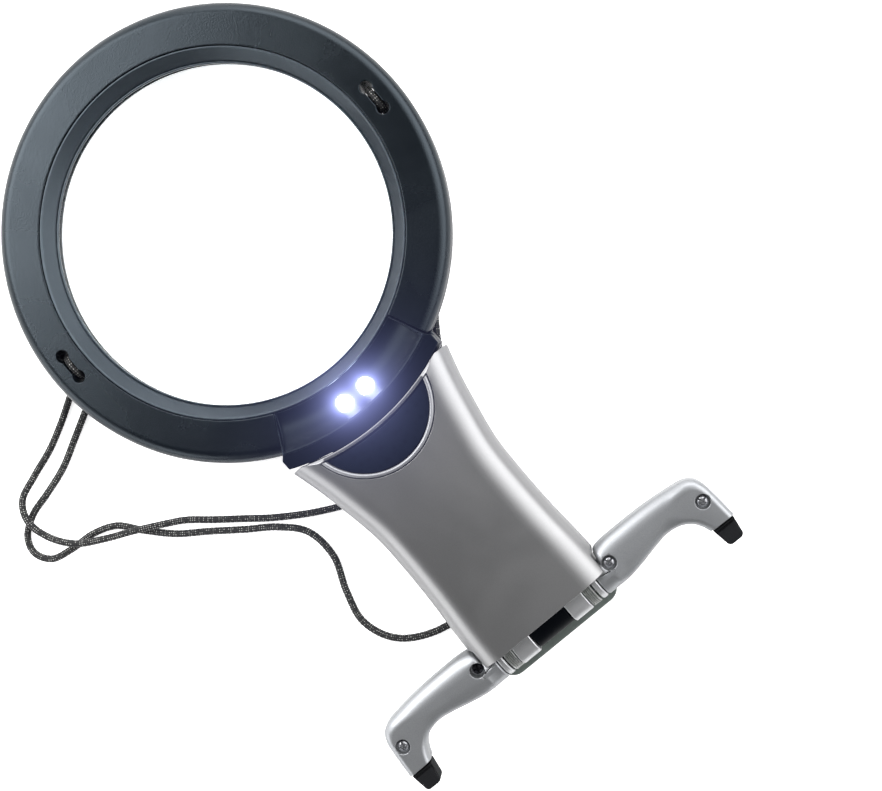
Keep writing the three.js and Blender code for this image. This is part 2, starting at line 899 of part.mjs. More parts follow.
// Half moon between the circle of the handle's top edge and the button's own circle
function halfMoon(radius, topRadius) {
  const meeting = (topRadius ** 2 - radius ** 2 + buttonCentre ** 2) / (2 * buttonCentre);
  const half = Math.sqrt(topRadius ** 2 - meeting ** 2);
  const low = Math.atan2(meeting - buttonCentre, half) / degrees;
  const high = Math.atan2(meeting, half) / degrees;
  return plan([
    ...arc(0, buttonCentre, radius, low, 180 - low, roundSegments),
    ...arc(0, 0, topRadius, 180 - high, high, roundSegments / 2).slice(1, -1),
  ]);
}

const bezelOuter = buttonRadius + clearance + beadWidth;
const moonTop = handleTopRadius + buttonRim;

function makeFrontShell() {
  const opening = extrude(
    halfMoon(bezelOuter + clearance, moonTop),
    axisHeight,
    handleFace + overrun,
  );
  return cut(makeShell(1, faceHalfWidth, frontRound), opening);
}

function makeBackShell() {
  const half = doorHalfWidth + clearance;
  const doorway = block([-half, doorStart - clearance, 0], [half, handleEnd + overrun, innerFloor + clearance / 2]);
  const middle = handleBack + wall / 2;
  const rail = doorRailThickness / 2 + clearance;
  const rails = block(
    [-half - doorRail, doorStart - clearance, middle - rail],
    [half + doorRail, handleEnd + overrun, middle + rail],
  );
  const screws = [-1, 1].flatMap((side) => [
    pin(side * shellScrewReach, shellScrewDown, screwHeadRadius + clearance, 0, handleBack + frameWellDepth),
    pin(side * shellScrewReach, shellScrewDown, screwShankRadius + clearance, 0, axisHeight),
  ]);
  const pads = [-1, 1].map((side) =>
    pin(side * shellScrewReach, shellScrewDown, frameBossRadius, handleBack + wall / 2, shellPadTop));
  return cut(join(makeShell(-1, backHalfWidth, backRound), ...pads), doorway, rails, ...screws);
}

// Light button

function makeBezel() {
  const bottom = handleFace - wall - clearance - bezelLipThickness;
  const topEdge = moonTop + clearance;
  const ring = extrude(halfMoon(bezelOuter, topEdge), bottom, handleFace + beadRise, beadRise / 2);
  const lip = extrude(halfMoon(bezelOuter + bezelLip, topEdge), bottom, bottom + bezelLipThickness)
    .intersect(block([-faceHalfWidth, 0, 0], [faceHalfWidth, handleEnd, handleFace]));
  const hole = pin(0, buttonCentre, buttonRadius + clearance, 0, handleFace + 2 * overrun, 2 * roundSegments);
  return cut(join(ring, lip), hole);
}

function makeButton() {
  const top = handleFace + buttonRise;
  const bottom = top - buttonDepth;
  const bezelBottom = handleFace - wall - clearance - bezelLipThickness;
  const topEdge = moonTop + 2 * clearance;
  const cap = extrude(halfMoon(buttonRadius, topEdge), bottom, top, buttonEdge);
  const flange = extrude(
    halfMoon(buttonRadius + buttonFlange, topEdge),
    bottom,
    bezelBottom - clearance,
  );
  const pocket = extrude(
    halfMoon(buttonRadius - wall, topEdge + wall),
    bottom - overrun,
    top - wall,
  );
  const stem = pin(0, stemReach, stemRadius, switchTop + buttonTravel + clearance / 2, top - wall / 2);
  return join(cut(join(cap, flange), pocket), stem);
}

const tongueTop = innerFloor + clearance + tongueThickness;
const switchBoardTop = tongueTop + clearance + switchBoardThickness;
const switchTop = handleFace + buttonRise - buttonDepth - buttonTravel - clearance;

function makeSwitchBoard() {
  return block(
    [-switchBoardHalfWidth, handleTopRadius + wall, tongueTop + clearance],
    [switchBoardHalfWidth, tongueEnd, switchBoardTop],
  );
}

function makeSwitch() {
  const half = switchSide / 2;
  const top = switchTop - plungerRise;
  const box = block(
    [-half, stemReach - half, switchBoardTop + clearance],
    [half, stemReach + half, top],
  );
  return join(box, pin(0, stemReach, plungerRadius, top - overrun, switchTop));
}

// Cells, tray and contacts

function cellX(i) {
  return (i - (cellCount - 1) / 2) * (cellDiameter + cellGap);
}

function rod(x, height, radius, from, to, segments = roundSegments) {
  const geometry = new THREE.CylinderGeometry(radius, radius, to - from, segments);
  geometry.translate(x, -(from + to) / 2, height);
  return solid(geometry);
}

function makeTray() {
  const body = block(
    [-trayHalfWidth, trayStart, innerFloor + clearance],
    [trayHalfWidth, trayEnd, trayTop],
  );
  const half = cellX(cellCount - 1) + cellDiameter / 2 + clearance;
  const bay = block([-half, bayStart, 0], [half, bayEnd, cellHeight]);
  const troughs = Array.from({ length: cellCount }, (_, i) =>
    rod(cellX(i), cellHeight, cellDiameter / 2 + clearance, bayStart, bayEnd));
  return cut(body, bay, ...troughs);
}

function makeCell(i) {
  const radius = cellDiameter / 2;
  const points = [
    [0, 0],
    [radius - cellEdge, 0],
    [radius, cellEdge],
    [radius, cellLength - cellEdge],
    [radius - cellEdge, cellLength],
    [cellNubRadius, cellLength],
    [cellNubRadius, cellLength + cellNubLength],
    [0, cellLength + cellNubLength],
  ].map(([x, y]) => new THREE.Vector2(x, y));
  const geometry = new THREE.LatheGeometry(points, roundSegments);
  geometry.translate(cellX(i), -cellEnd, cellHeight);
  return solid(geometry);
}

function makeContactStrip(start) {
  const half = cellX(cellCount - 1) + cellDiameter / 2;
  return block(
    [-half, start, innerFloor + 2 * clearance],
    [half, start + contactThickness, cellHeight - clearance],
  );
}

function makeContactSpring(i) {
  const from = cellEnd + clearance + springWire / 2;
  const to = cellEnd + clearance + springLength - springWire / 2;
  const path = new Winding((share) => {
    const angle = share * springTurns * 2 * Math.PI;
    const radius = springRadius * (1 + share / 2);
    return new THREE.Vector3(
      cellX(i) + radius * Math.cos(angle),
      -(from + share * (to - from)),
      cellHeight + radius * Math.sin(angle),
    );
  });
  return tube(path, springWire / 2, wireSides, wireStepsPerTurn * springTurns);
}

// Battery door and foot

function makeDoor() {
  const half = doorHalfWidth;
  const middle = handleBack + wall / 2;
  const plate = block([-half, doorStart, handleBack], [half, footStart - clearance, innerFloor - clearance / 2]);
  const rails = block(
    [-half - doorRail, doorStart, middle - doorRailThickness / 2],
    [half + doorRail, handleEnd - clearance, middle + doorRailThickness / 2],
  );
  const tongue = block(
    [-doorTongueHalfWidth, footStart - overrun, handleBack],
    [doorTongueHalfWidth, footStart + doorTongueLength, innerFloor - clearance / 2],
  );
  const grooves = Array.from({ length: doorGrooveCount }, (_, i) => {
    const start = handleEnd - doorTongueLength - (i + 1) * doorGroovePitch;
    return block(
      [-doorGrooveHalfLength, start, 0],
      [doorGrooveHalfLength, start + doorGroovePitch / 2, handleBack + doorGrooveDepth],
    );
  });
  return cut(join(plate, rails, tongue), ...grooves);
}

function makeRestFoot() {
  const inset = footCorner / 2;
  const outline = plan([
    [-footHalfSpan, footStart],
    [footHalfSpan, footStart],
    [footHalfSpan, footEnd - inset],
    [footHalfSpan - footCorner, footEnd - clearance],
    [footHalfSpan - 2 * footCorner, footEnd],
    [-footHalfSpan + 2 * footCorner, footEnd],
    [-footHalfSpan + footCorner, footEnd - clearance],
    [-footHalfSpan, footEnd - inset],
  ]);
  const sole = extrude(outline, 0, footTop, footDraft);
  const slot = block(
    [-doorTongueHalfWidth - clearance, footStart - overrun, handleBack - clearance],
    [doorTongueHalfWidth + clearance, footStart + doorTongueLength + clearance, innerFloor + overrun],
  );
  return cut(sole, slot);
}

// Hinge

function makeHousing() {
  const half = lugHalfHeight;
  const back = -lugRoot;
  const outline = [
    [back, -half],
    [half - lugChamfer, -half],
    [half, -half + lugChamfer],
    [half, half - lugChamfer],
    [half - lugChamfer, half],
    [back, half],
  ];
  const shape = new THREE.Shape(outline.map(([down, up]) => new THREE.Vector2(down, up)));
  const start = sleeveHalfLength + clearance;
  const lugs = [start, -lugOuter].map((x) => {
    const geometry = new THREE.ExtrudeGeometry(shape, { depth: lugOuter - start, bevelEnabled: false });
    geometry.applyMatrix4(new THREE.Matrix4().set(
      0, 0, 1, x,
      -1, 0, 0, -barrelReach,
      0, 1, 0, axisHeight,
      0, 0, 0, 1,
    ));
    return solid(geometry);
  });
  const tie = block(
    [-start - clearance, barrelReach - lugRoot, axisHeight - half],
    [start + clearance, barrelReach - lugRoot + lugBarThickness, axisHeight + half],
  );
  return cut(join(...lugs, tie), bar(-legStart, legStart, axleRadius + clearance, smallSegments));
}

function hollowBar(x0, x1, radius, bore) {
  return cut(bar(x0, x1, radius), bar(x0 - overrun, x1 + overrun, bore, smallSegments));
}

function makeHingeSpring() {
  const half = sleeveHalfLength - clearance - hingeSpringWire / 2;
  const path = new Winding((share) => {
    const angle = share * hingeSpringTurns * 2 * Math.PI;
    return new THREE.Vector3(
      (2 * share - 1) * half,
      -barrelReach + hingeSpringRadius * Math.cos(angle),
      axisHeight + hingeSpringRadius * Math.sin(angle),
    );
  });
  return tube(path, hingeSpringWire / 2, wireSides, wireStepsPerTurn * hingeSpringTurns);
}

// Legs

// Outline of the right leg, from its shoulder beside the handle to its heel
function legOutline() {
  const length = legReach - legStart;
  const drop = legHeel - legTop;
  const at = (across, down) => [legStart + across * length, legTop + down * drop];
  const topEdgeShares = [
    [0, 0.16], [0.012, 0.09], [0.05, 0.045], [0.28, 0], [0.52, 0.02], [0.735, 0.08],
    [0.89, 0.17], [0.965, 0.31], [1, 0.56],
  ];
  const heelShares = [[1, 1], [0.785, 0.99]];
  const hollowShares = [
    [0.762, 0.87], [0.715, 0.735], [0.635, 0.64], [0.53, 0.61], [0.4, 0.65], [0.24, 0.72],
    [0.1, 0.765],
  ];
  const rootShares = [[0, (legRootBottom - legTop) / drop]];
  const shares = [...topEdgeShares, ...heelShares, ...hollowShares, ...rootShares];
  return plan(shares.map(([across, down]) => at(across, down)));
}

// The leg grows thinner from the barrel to the foot
function tapered(geometry) {
  const position = geometry.attributes.position;
  for (let i = 0; i < position.count; i++) {
    const share = Math.max(0, (position.getX(i) - legStart) / (legReach - legStart));
    position.setZ(i, position.getZ(i) * (1 - legTaper * share));
  }
  geometry.translate(0, 0, axisHeight);
  return geometry;
}

function makeLegBody() {
  const geometry = new THREE.ExtrudeGeometry(legOutline(), {
    depth: 2 * (barrelRadius - legEdge),
    bevelEnabled: true,
    bevelThickness: legEdge,
    bevelSize: legEdge,
    bevelOffset: -legEdge,
    bevelSegments: edgeSegments,
  });
  geometry.translate(0, 0, legEdge - barrelRadius);
  const arm = solid(tapered(geometry));
  const root = bar(frictionRingEnd + clearance, legStart + legEdge, barrelRadius);
  const bore = bar(frictionRingEnd, axleHalfLength + clearance, axleRadius + clearance, smallSegments);
  const socketHalf = tenonWidth / 2 + clearance;
  const middle = (tipInner + tipOuter) / 2;
  const socket = block(
    [middle - socketHalf, legHeel - tenonLength - clearance, axisHeight - tenonDepth / 2 - clearance],
    [middle + socketHalf, legHeel + overrun, axisHeight + tenonDepth / 2 + clearance],
  );
  return cut(join(arm, root), bore, socket);
}

function legFaceHeight(x) {
  const share = (x - legStart) / (legReach - legStart);
  return axisHeight + barrelRadius * (1 - legTaper * share);
}

function legHalf(body, up) {
  const reach = legReach + overrun;
  const low = up > 0 ? axisHeight + clearance / 2 : 0;
  const high = up > 0 ? handleFace : axisHeight - clearance / 2;
  const half = body.intersect(block([0, legTop - overrun, low], [reach, legHeel + overrun, high]));
  const holes = legScrewPlaces.flatMap(([, x, down]) => {
    const floor = legFaceHeight(x) - wellDepth;
    const tip = floor - screwLength;
    const shank = pin(x, down, screwShankRadius + clearance, tip, handleFace);
    return up > 0 ? [shank, pin(x, down, wellRadius, floor, handleFace)] : [shank];
  });
  return cut(half, ...holes);
}

function makeTip() {
  const top = legHeel + clearance;
  const middle = (tipInner + tipOuter) / 2;
  const outline = plan([
    [tipInner, top],
    [tipOuter, top],
    [tipOuter - tipDraft, legEnd - tipCorner],
    [tipOuter - tipDraft - tipCorner, legEnd],
    [tipInner + tipDraft + tipCorner, legEnd],
    [tipInner + tipDraft, legEnd - tipCorner],
  ]);
  const pad = extrude(outline, axisHeight - tipDepth / 2, axisHeight + tipDepth / 2, tipDraft);
  const tenon = block(
    [middle - tenonWidth / 2, legHeel - tenonLength, axisHeight - tenonDepth / 2],
    [middle + tenonWidth / 2, top + overrun, axisHeight + tenonDepth / 2],
  );
  return join(pad, tenon);
}

// A screw stands on its tip, with the head up
function makeScrew(length) {
  const dome = screwHeadHeight / 3;
  const points = [
    [0, 0],
    [screwShankRadius, 0],
    [screwShankRadius, length],
    [screwHeadRadius, length + dome],
    [screwHeadRadius, length + screwHeadHeight - dome],
    [screwHeadRadius / 2, length + screwHeadHeight],
    [0, length + screwHeadHeight],
  ].map(([x, y]) => new THREE.Vector2(x, y));
  const geometry = new THREE.LatheGeometry(points, smallSegments);
  geometry.rotateX(Math.PI / 2);
  return solid(geometry);
}

// The cross that a screwdriver turns
function crossed(screw, length) {
  const top = length + screwHeadHeight;
  const reach = screwHeadRadius / 2 + crossWidth / 2;
  const slots = [[reach, crossWidth / 2], [crossWidth / 2, reach]].map(([x, y]) =>
    block([-x, -y, top - crossDepth], [x, y, top + overrun]));
  return cut(screw, ...slots);
}

function screwFromFront(x, down, seat) {
  const screw = crossed(makeScrew(screwLength), screwLength);
  return screw.translate([x, -down, seat - screwLength]);
}

function screwFromBack(x, down, seat, length) {
  return makeScrew(length).rotate([180, 0, 0]).translate([x, -down, seat + length]);
}

// Neck cord

// The bight shows in the channel between two holes and hangs down through both
function makeBight(side) {
  const half = holeSpacing / 2;
  const crown = ringFace - cordDiameter / 2 - clearance - clearance - half;
  const foot = cordTop + clearance;
  const x = side * holeCircle;
  const over = arc(0, crown, half, 180, 0, bightSteps).map(([y, z]) => new THREE.Vector3(x, y, z));
  const points = [
    new THREE.Vector3(x, -half, foot),
    new THREE.Vector3(x, -half, (foot + crown) / 2),
    ...over,
    new THREE.Vector3(x, half, (foot + crown) / 2),
    new THREE.Vector3(x, half, foot),
  ];
  return tube(new Route(points), cordDiameter / 2, cordSides, points.length - 1);
}

// The free cord starts inside its hole, drops out of it and bends down on to the table
const cordTop = innerFloor - clearance / 2;

function exitBend([x, y], [nextX, nextY]) {
  const start = ringBack + exitDepth;
  const radius = start - cordHeight;
  const length = Math.hypot(nextX - x, nextY - y);
  const bend = arc(0, 0, radius, 0, 90, exitSteps).map(([left, dropped]) => {
    const share = (radius - left) / length;
    return [x + share * (nextX - x), y + share * (nextY - y), start - dropped];
  });
  return [[x, y, cordTop], ...bend];
}

// Routes over the table: across, towards the lens, and the height where it isn't lying flat
const farLeftHole = [-holeCircle, holeSpacing / 2];
const nearLeftHole = [-holeCircle, -holeSpacing / 2];
const farRightHole = [holeCircle, holeSpacing / 2];
const nearRightHole = [holeCircle, -holeSpacing / 2];
const strandRoute = [
  [-73, -0.5], [-78.4, -3.9], [-86, -8.2], [-94.5, -12.2], [-104.5, -15.6, 1.7], [-112.4, -19.4, 3.1],
  [-115.2, -26, 3.95], [-113.6, -34, 3.4], [-107.6, -42, 3.95], [-98.6, -47.4, 3.5],
  [-89.2, -51.7, 3.95], [-80.6, -56.2, 2.7], [-74, -60, 1.5], [-66.6, -66], [-58.6, -72.2],
  [-50.6, -78.4], [-37.4, -86.7], [-26, -91.8], [-13, -94], [0, -91.6],
  [11.5, -85], [20, -74.5], [26.6, -62],
];
const leadRoute = [
  [-73, -8.6], [-78.4, -11.4], [-85.4, -15], [-95, -19.8], [-105, -22.8], [-113.4, -25],
  [-119.8, -29.4], [-121.6, -35], [-118.4, -40.4], [-111, -42.4],
  [-101.6, -43.2], [-93.4, -46.4], [-87.4, -53.4], [-79.6, -61.4],
  [-70.6, -67.8], [-60.4, -75.4], [-51.4, -81.8], [-44.5, -89.6],
  [-43.2, -101], [-47.6, -113], [-49.8, -124], [-45.4, -134.6],
  [-34, -141.6],
];
const returnRoute = [
  [21.4, -108, 2.4], [21.8, -98, 1.4], [23, -86], [26.4, -75], [32.6, -64.6],
];

// Behind the ring's right side the cord lies in two arcs, one by the collar and one outside it
const strandBand = arc(0, 0, holeCircle - clearance, -57.5, -12, bandSteps);
const returnBand = arc(0, 0, holeCircle + cordDiameter + bandGap, -53, -5.4, bandSteps);

function raised(route) {
  return route.map(([x, y, z = cordHeight]) => [x, y, z]);
}

// The coil spirals in on the table, climbs a layer in half a turn, and spirals out on top
const coilMidRadius = (coilMidDiameters * cordDiameter) / 2;
const coilTurns = 2 * coilTurnsPerLayer + 1 / 4;
const coilSpread = (coilTurns * coilPitch) / 2;
const coilOuterRadius = coilMidRadius + coilSpread / 2;
const coilTail = 2 * cordDiameter;

function coilPlace(turns) {
  const middle = coilTurns / 2;
  const inward = Math.abs(turns - middle) / middle;
  const radius = coilOuterRadius - coilSpread * (1 - inward);
  const climb = THREE.MathUtils.smoothstep(turns, middle - 1 / 4, middle + 1 / 4);
  const angle = (turns - 1 / 4) * 2 * Math.PI;
  return new THREE.Vector3(
    radius * Math.cos(angle),
    radius * Math.sin(angle) - coilCentreReach,
    cordHeight + climb * coilPitch,
  );
}

function coilPoints() {
  const steps = Math.round(coilTurns * coilStepsPerTurn);
  const points = [];
  for (let i = 0; i <= steps; i++) points.push(coilPlace((coilTurns * i) / steps));
  const first = points[0];
  const last = points[steps];
  const start = new THREE.Vector3(first.x - coilTail, first.y, first.z);
  const end = new THREE.Vector3(last.x, last.y + coilTail, last.z);
  return [start, ...points, end];
}

function vectors(route) {
  return route.map(([x, y, z]) => new THREE.Vector3(x, y, z));
}

// The least distance between stretches of the coil that aren't neighbours along it
function coilGap(points) {
  const skip = coilStepsPerTurn / 3;
  let least = Infinity;
  points.forEach((a, i) => {
    for (let j = i + skip; j < points.length; j++) least = Math.min(least, a.distanceTo(points[j]));
  });
  return least - cordDiameter;
}

function makeCoil() {
  const points = coilPoints();
  console.log(`least gap of the coil to itself: ${coilGap(points).toFixed(2)} mm`);
  return tube(new Route(points), cordDiameter / 2, coilSides, points.length - 1);
}

function makeStrand(route) {
  return tube(new Route(vectors(route)), cordDiameter / 2, cordSides, route.length - 1);
}

function coilEnds() {
  const points = coilPoints();
  const first = points[0];
  const last = points[points.length - 1];
  return {
    arrive: [first.x - clearance, first.y, first.z],
    leave: [last.x, last.y + clearance, last.z],
  };
}

// Assembly

const assembly = new THREE.Group();
assembly.position.set(0, ringCentreY, 0);

function add(name, body, finish) {
  const mesh = new THREE.Mesh(toGeometry(body), finish);
  mesh.name = name;
  assembly.add(mesh);
}

add('lens', makeLens(), clearAcrylic);
add('lens_retaining_ring', makeRetainingRing(), bevelBlack);
add('front_frame', makeFrontFrame(), satinBlack);
add('back_frame', makeBackFrame(), satinBlack);
frameScrewAngles.forEach((angle, i) => {
  const [x, down] = frameScrewPlace(angle);
  const seat = ringBack + frameWellDepth - clearance;
  add(`frame_screw_${i + 1}`, screwFromBack(x, down, seat, screwLength), steel);
});

add('led_hood', makeHood(), glossBlack);
add('led_left', makeLamp(-1), lampWhite);
add('led_right', makeLamp(1), lampWhite);
add('led_board', makeLampBoard(), boardGreen);

add('handle_front_shell', makeFrontShell(), silver);
add('handle_back_shell', makeBackShell(), silver);
for (const [name, side] of [['left', -1], ['right', 1]]) {
  const seat = handleBack + frameWellDepth - clearance;
  const screw = screwFromBack(side * shellScrewReach, shellScrewDown, seat, shellScrewLength);
  add(`shell_screw_${name}`, screw, steel);
}

add('light_button', makeButton(), glossBlack);
add('button_bezel', makeBezel(), brightSilver);
add('switch_board', makeSwitchBoard(), boardGreen);
add('switch_body', makeSwitch(), trayBlack);

add('battery_tray', makeTray(), trayBlack);
['left', 'middle', 'right'].forEach((name, i) => {
  add(`battery_cell_${name}`, makeCell(i), cellJacket);
  add(`contact_spring_${name}`, makeContactSpring(i), steel);
});
add('contact_strip_top', makeContactStrip(bayStart + clearance), brightSilver);
add('contact_strip_bottom', makeContactStrip(bayEnd - clearance - contactThickness), brightSilver);
add('battery_door', makeDoor(), silver);
add('rest_foot', makeRestFoot(), footGrey);

add('hinge_housing', makeHousing(), brightSilver);
add('hinge_sleeve', hollowBar(-sleeveHalfLength, sleeveHalfLength, sleeveRadius, sleeveBore), glossBlack);
add('hinge_spring', makeHingeSpring(), steel);
add('hinge_axle', bar(-axleHalfLength, axleHalfLength, axleRadius, smallSegments), steel);

const bore = axleRadius + clearance;
const frictionCollar = hollowBar(lugOuter + clearance, collarEnd, barrelRadius, bore);
const frictionRing = hollowBar(collarEnd + hingeSeam, frictionRingEnd, barrelRadius, bore);
const legBody = makeLegBody();
for (const [name, turned] of [['left', mirrored], ['right', (body) => body]]) {
  add(`friction_collar_${name}`, turned(frictionCollar), darkSilver);
  add(`friction_ring_${name}`, turned(frictionRing), brightSilver);
  add(`leg_front_shell_${name}`, turned(legHalf(legBody, 1)), silver);
  add(`leg_back_shell_${name}`, turned(legHalf(legBody, -1)), silver);
  add(`foot_tip_${name}`, turned(makeTip()), softBlack);
  for (const [place, x, down] of legScrewPlaces) {
    const seat = legFaceHeight(x) - wellDepth + clearance;
    add(`leg_${place}_screw_${name}`, turned(screwFromFront(x, down, seat)), steel);
  }
}

const ends = coilEnds();
add('cord_bight_left', makeBight(-1), cordBlack);
add('cord_bight_right', makeBight(1), cordBlack);
add('cord_strand', makeStrand([
  ...exitBend(farLeftHole, strandRoute[0]),
  ...raised([...strandRoute, ...strandBand]),
  ...exitBend(nearRightHole, strandBand[strandBand.length - 1]).reverse(),
]), cordBlack);
add('cord_lead', makeStrand([
  ...exitBend(nearLeftHole, leadRoute[0]),
  ...raised(leadRoute),
  ends.arrive,
]), cordBlack);
add('cord_coil', makeCoil(), cordBlack);
add('cord_return', makeStrand([
  ends.leave,
  ...raised([...returnRoute, ...returnBand]),
  ...exitBend(farRightHole, returnBand[returnBand.length - 1]).reverse(),
]), cordBlack);

const magnifier = new THREE.Group();
magnifier.add(assembly);

export default magnifier;
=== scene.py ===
"""Visual model of a lighted magnifying glass with a neck cord and two rest legs.

Pieces are drafted in millimetres about the middle of the lens, with the handle running
along -Y. Places down the handle are given as positive distances from the lens. A finished
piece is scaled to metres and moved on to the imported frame.
"""

import sys

import logging
from collections.abc import Iterable, Sequence
from dataclasses import dataclass
from enum import Enum
from functools import cache
from math import asin, atan2, cos, degrees, pi, radians, sin, sqrt

import bmesh
import bpy
from mathutils import Matrix, Vector

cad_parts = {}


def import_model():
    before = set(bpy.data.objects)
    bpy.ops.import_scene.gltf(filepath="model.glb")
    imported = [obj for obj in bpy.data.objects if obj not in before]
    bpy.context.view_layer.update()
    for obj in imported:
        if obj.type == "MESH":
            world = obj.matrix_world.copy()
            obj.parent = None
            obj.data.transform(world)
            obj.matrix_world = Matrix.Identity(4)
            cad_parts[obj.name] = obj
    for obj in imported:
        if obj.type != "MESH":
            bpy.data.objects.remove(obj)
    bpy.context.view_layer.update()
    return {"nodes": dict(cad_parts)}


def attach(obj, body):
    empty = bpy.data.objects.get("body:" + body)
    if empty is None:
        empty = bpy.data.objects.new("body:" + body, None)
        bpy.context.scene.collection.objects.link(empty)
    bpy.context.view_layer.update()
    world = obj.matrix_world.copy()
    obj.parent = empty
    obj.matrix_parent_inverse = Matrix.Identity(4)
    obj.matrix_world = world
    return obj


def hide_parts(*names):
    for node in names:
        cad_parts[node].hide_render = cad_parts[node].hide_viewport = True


log = logging.getLogger("magnifier")

MM = 0.001
LENS_PLACE = 0.0522
TO_FRAME = Matrix.Translation((0, LENS_PLACE, 0)) @ Matrix.Scale(MM, 4)
GAP = 0.3
OVERRUN = 1.0
WALL = 1.8
TINY = 1e-6

Point = tuple[float, float]
Corner = tuple[float, float, float]
Colour = tuple[float, float, float, float]
Piece = bpy.types.Object
Mesh = bmesh.types.BMesh
Material = bpy.types.Material
Tree = bpy.types.NodeTree
Node = bpy.types.Node
Socket = bpy.types.NodeSocket
Inputs = dict[str | int, object]
Outputs = bpy.types.bpy_prop_collection


class Side(Enum):
    """The two sides of the glass, seen from the front."""

    LEFT = -1
    RIGHT = 1

    @property
    def word(self) -> str:
        """The side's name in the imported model."""
        return self.name.lower()


class Body(Enum):
    """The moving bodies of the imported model."""

    GLASS = "magnifier"
    LEFT_LEG = "left_leg"
    RIGHT_LEG = "right_leg"
    BUTTON = "light_button"
    DOOR = "battery_door"


LEG_BODIES = {Side.LEFT: Body.LEFT_LEG, Side.RIGHT: Body.RIGHT_LEG}


# Plan and profile curves


def arc(centre: Point, radius: float, start: float, end: float, steps: int) -> list[Point]:
    """Points on a circular arc, one more than its steps, with its angles in degrees."""
    angles = [radians(start + (end - start) * i / steps) for i in range(steps + 1)]
    return [(centre[0] + radius * cos(a), centre[1] + radius * sin(a)) for a in angles]


def smooth_step(value: float, low: float, high: float) -> float:
    """A soft step from 0 at low to 1 at high."""
    share = min(max((value - low) / (high - low), 0.0), 1.0)
    return share * share * (3 - 2 * share)


def smooth_line(points: Sequence[Sequence[float]], pieces: int) -> list[Vector]:
    """A centripetal spline through points.

    Args:
        points: Points of two or three coordinates.
        pieces: Number of chords between two neighbouring points.

    Returns:
        Points along the spline, both ends among them.
    """
    knots = [Vector((*p, 0.0)[:3]) for p in points]
    knots = [2 * knots[0] - knots[1], *knots, 2 * knots[-1] - knots[-2]]
    line: list[Vector] = []
    for a, b, c, d in zip(knots, knots[1:], knots[2:], knots[3:]):
        t1 = sqrt((b - a).length)
        t2 = t1 + sqrt((c - b).length)
        t3 = t2 + sqrt((d - c).length)
        for i in range(pieces):
            t = t1 + (t2 - t1) * i / pieces
            ab, bc, cd = a.lerp(b, t / t1), b.lerp(c, (t - t1) / (t2 - t1)), c.lerp(d, (t - t2) / (t3 - t2))
            left, right = ab.lerp(bc, t / t2), bc.lerp(cd, (t - t1) / (t3 - t1))
            line.append(left.lerp(right, (t - t1) / (t2 - t1)))
    line.append(knots[-2])
    return line


@dataclass(frozen=True)
class Layout:
    """Sizes and places that several sub-assemblies share, in millimetres."""

    lens_radius: float = 55.5
    lens_curve: float = 245.0
    lens_edge: float = 2.5
    lens_middle: float = 12.55
    ledge: float = 1.2
    ring_bore: float = 59.1
    ring_outer: float = 73.0
    ring_back: float = 6.2
    ring_face: float = 19.7
    ring_parting: float = (ring_back + ring_face) / 2
    inner_floor: float = ring_back + WALL
    hole_circle: float = 64.7
    hole_spacing: float = 8.3
    hole_radius: float = 2.05
    hood_base: float = 14.9
    hood_half_angle: float = 23.8
    neck_half_width: float = 30.8
    handle_top: float = 77.8
    handle_end: float = 158.3
    handle_back: float = 6.2
    handle_face: float = 25.2
    well_depth: float = 1.6
    boss_radius: float = 3.9
    tongue_screw: Point = (12.0, 87.0)
    door_start: float = 98.6
    door_half_width: float = 17.1
    door_rail: Point = (1.2, 0.6)
    axis_height: float = 15.7
    barrel_reach: float = 160.3
    barrel_radius: float = 5.5
    axle_radius: float = 2.0
    lug_outer: float = 14.2
    lug_root: float = 7.4
    lug_half_height: float = 5.3


PLAN = Layout()


def lens_rise(radius: float) -> float:
    """Height of a face of the lens above its rim."""
    return sqrt(PLAN.lens_curve**2 - radius**2) - sqrt(PLAN.lens_curve**2 - PLAN.lens_radius**2)


# Solids


def in_scene(name: str, data: bpy.types.ID) -> Piece:
    """Puts an object in the scene.

    Args:
        name: Its name.
        data: Its mesh, light or camera.

    Returns:
        The object.
    """
    piece = bpy.data.objects.new(name, data)
    bpy.context.scene.collection.objects.link(piece)
    return piece


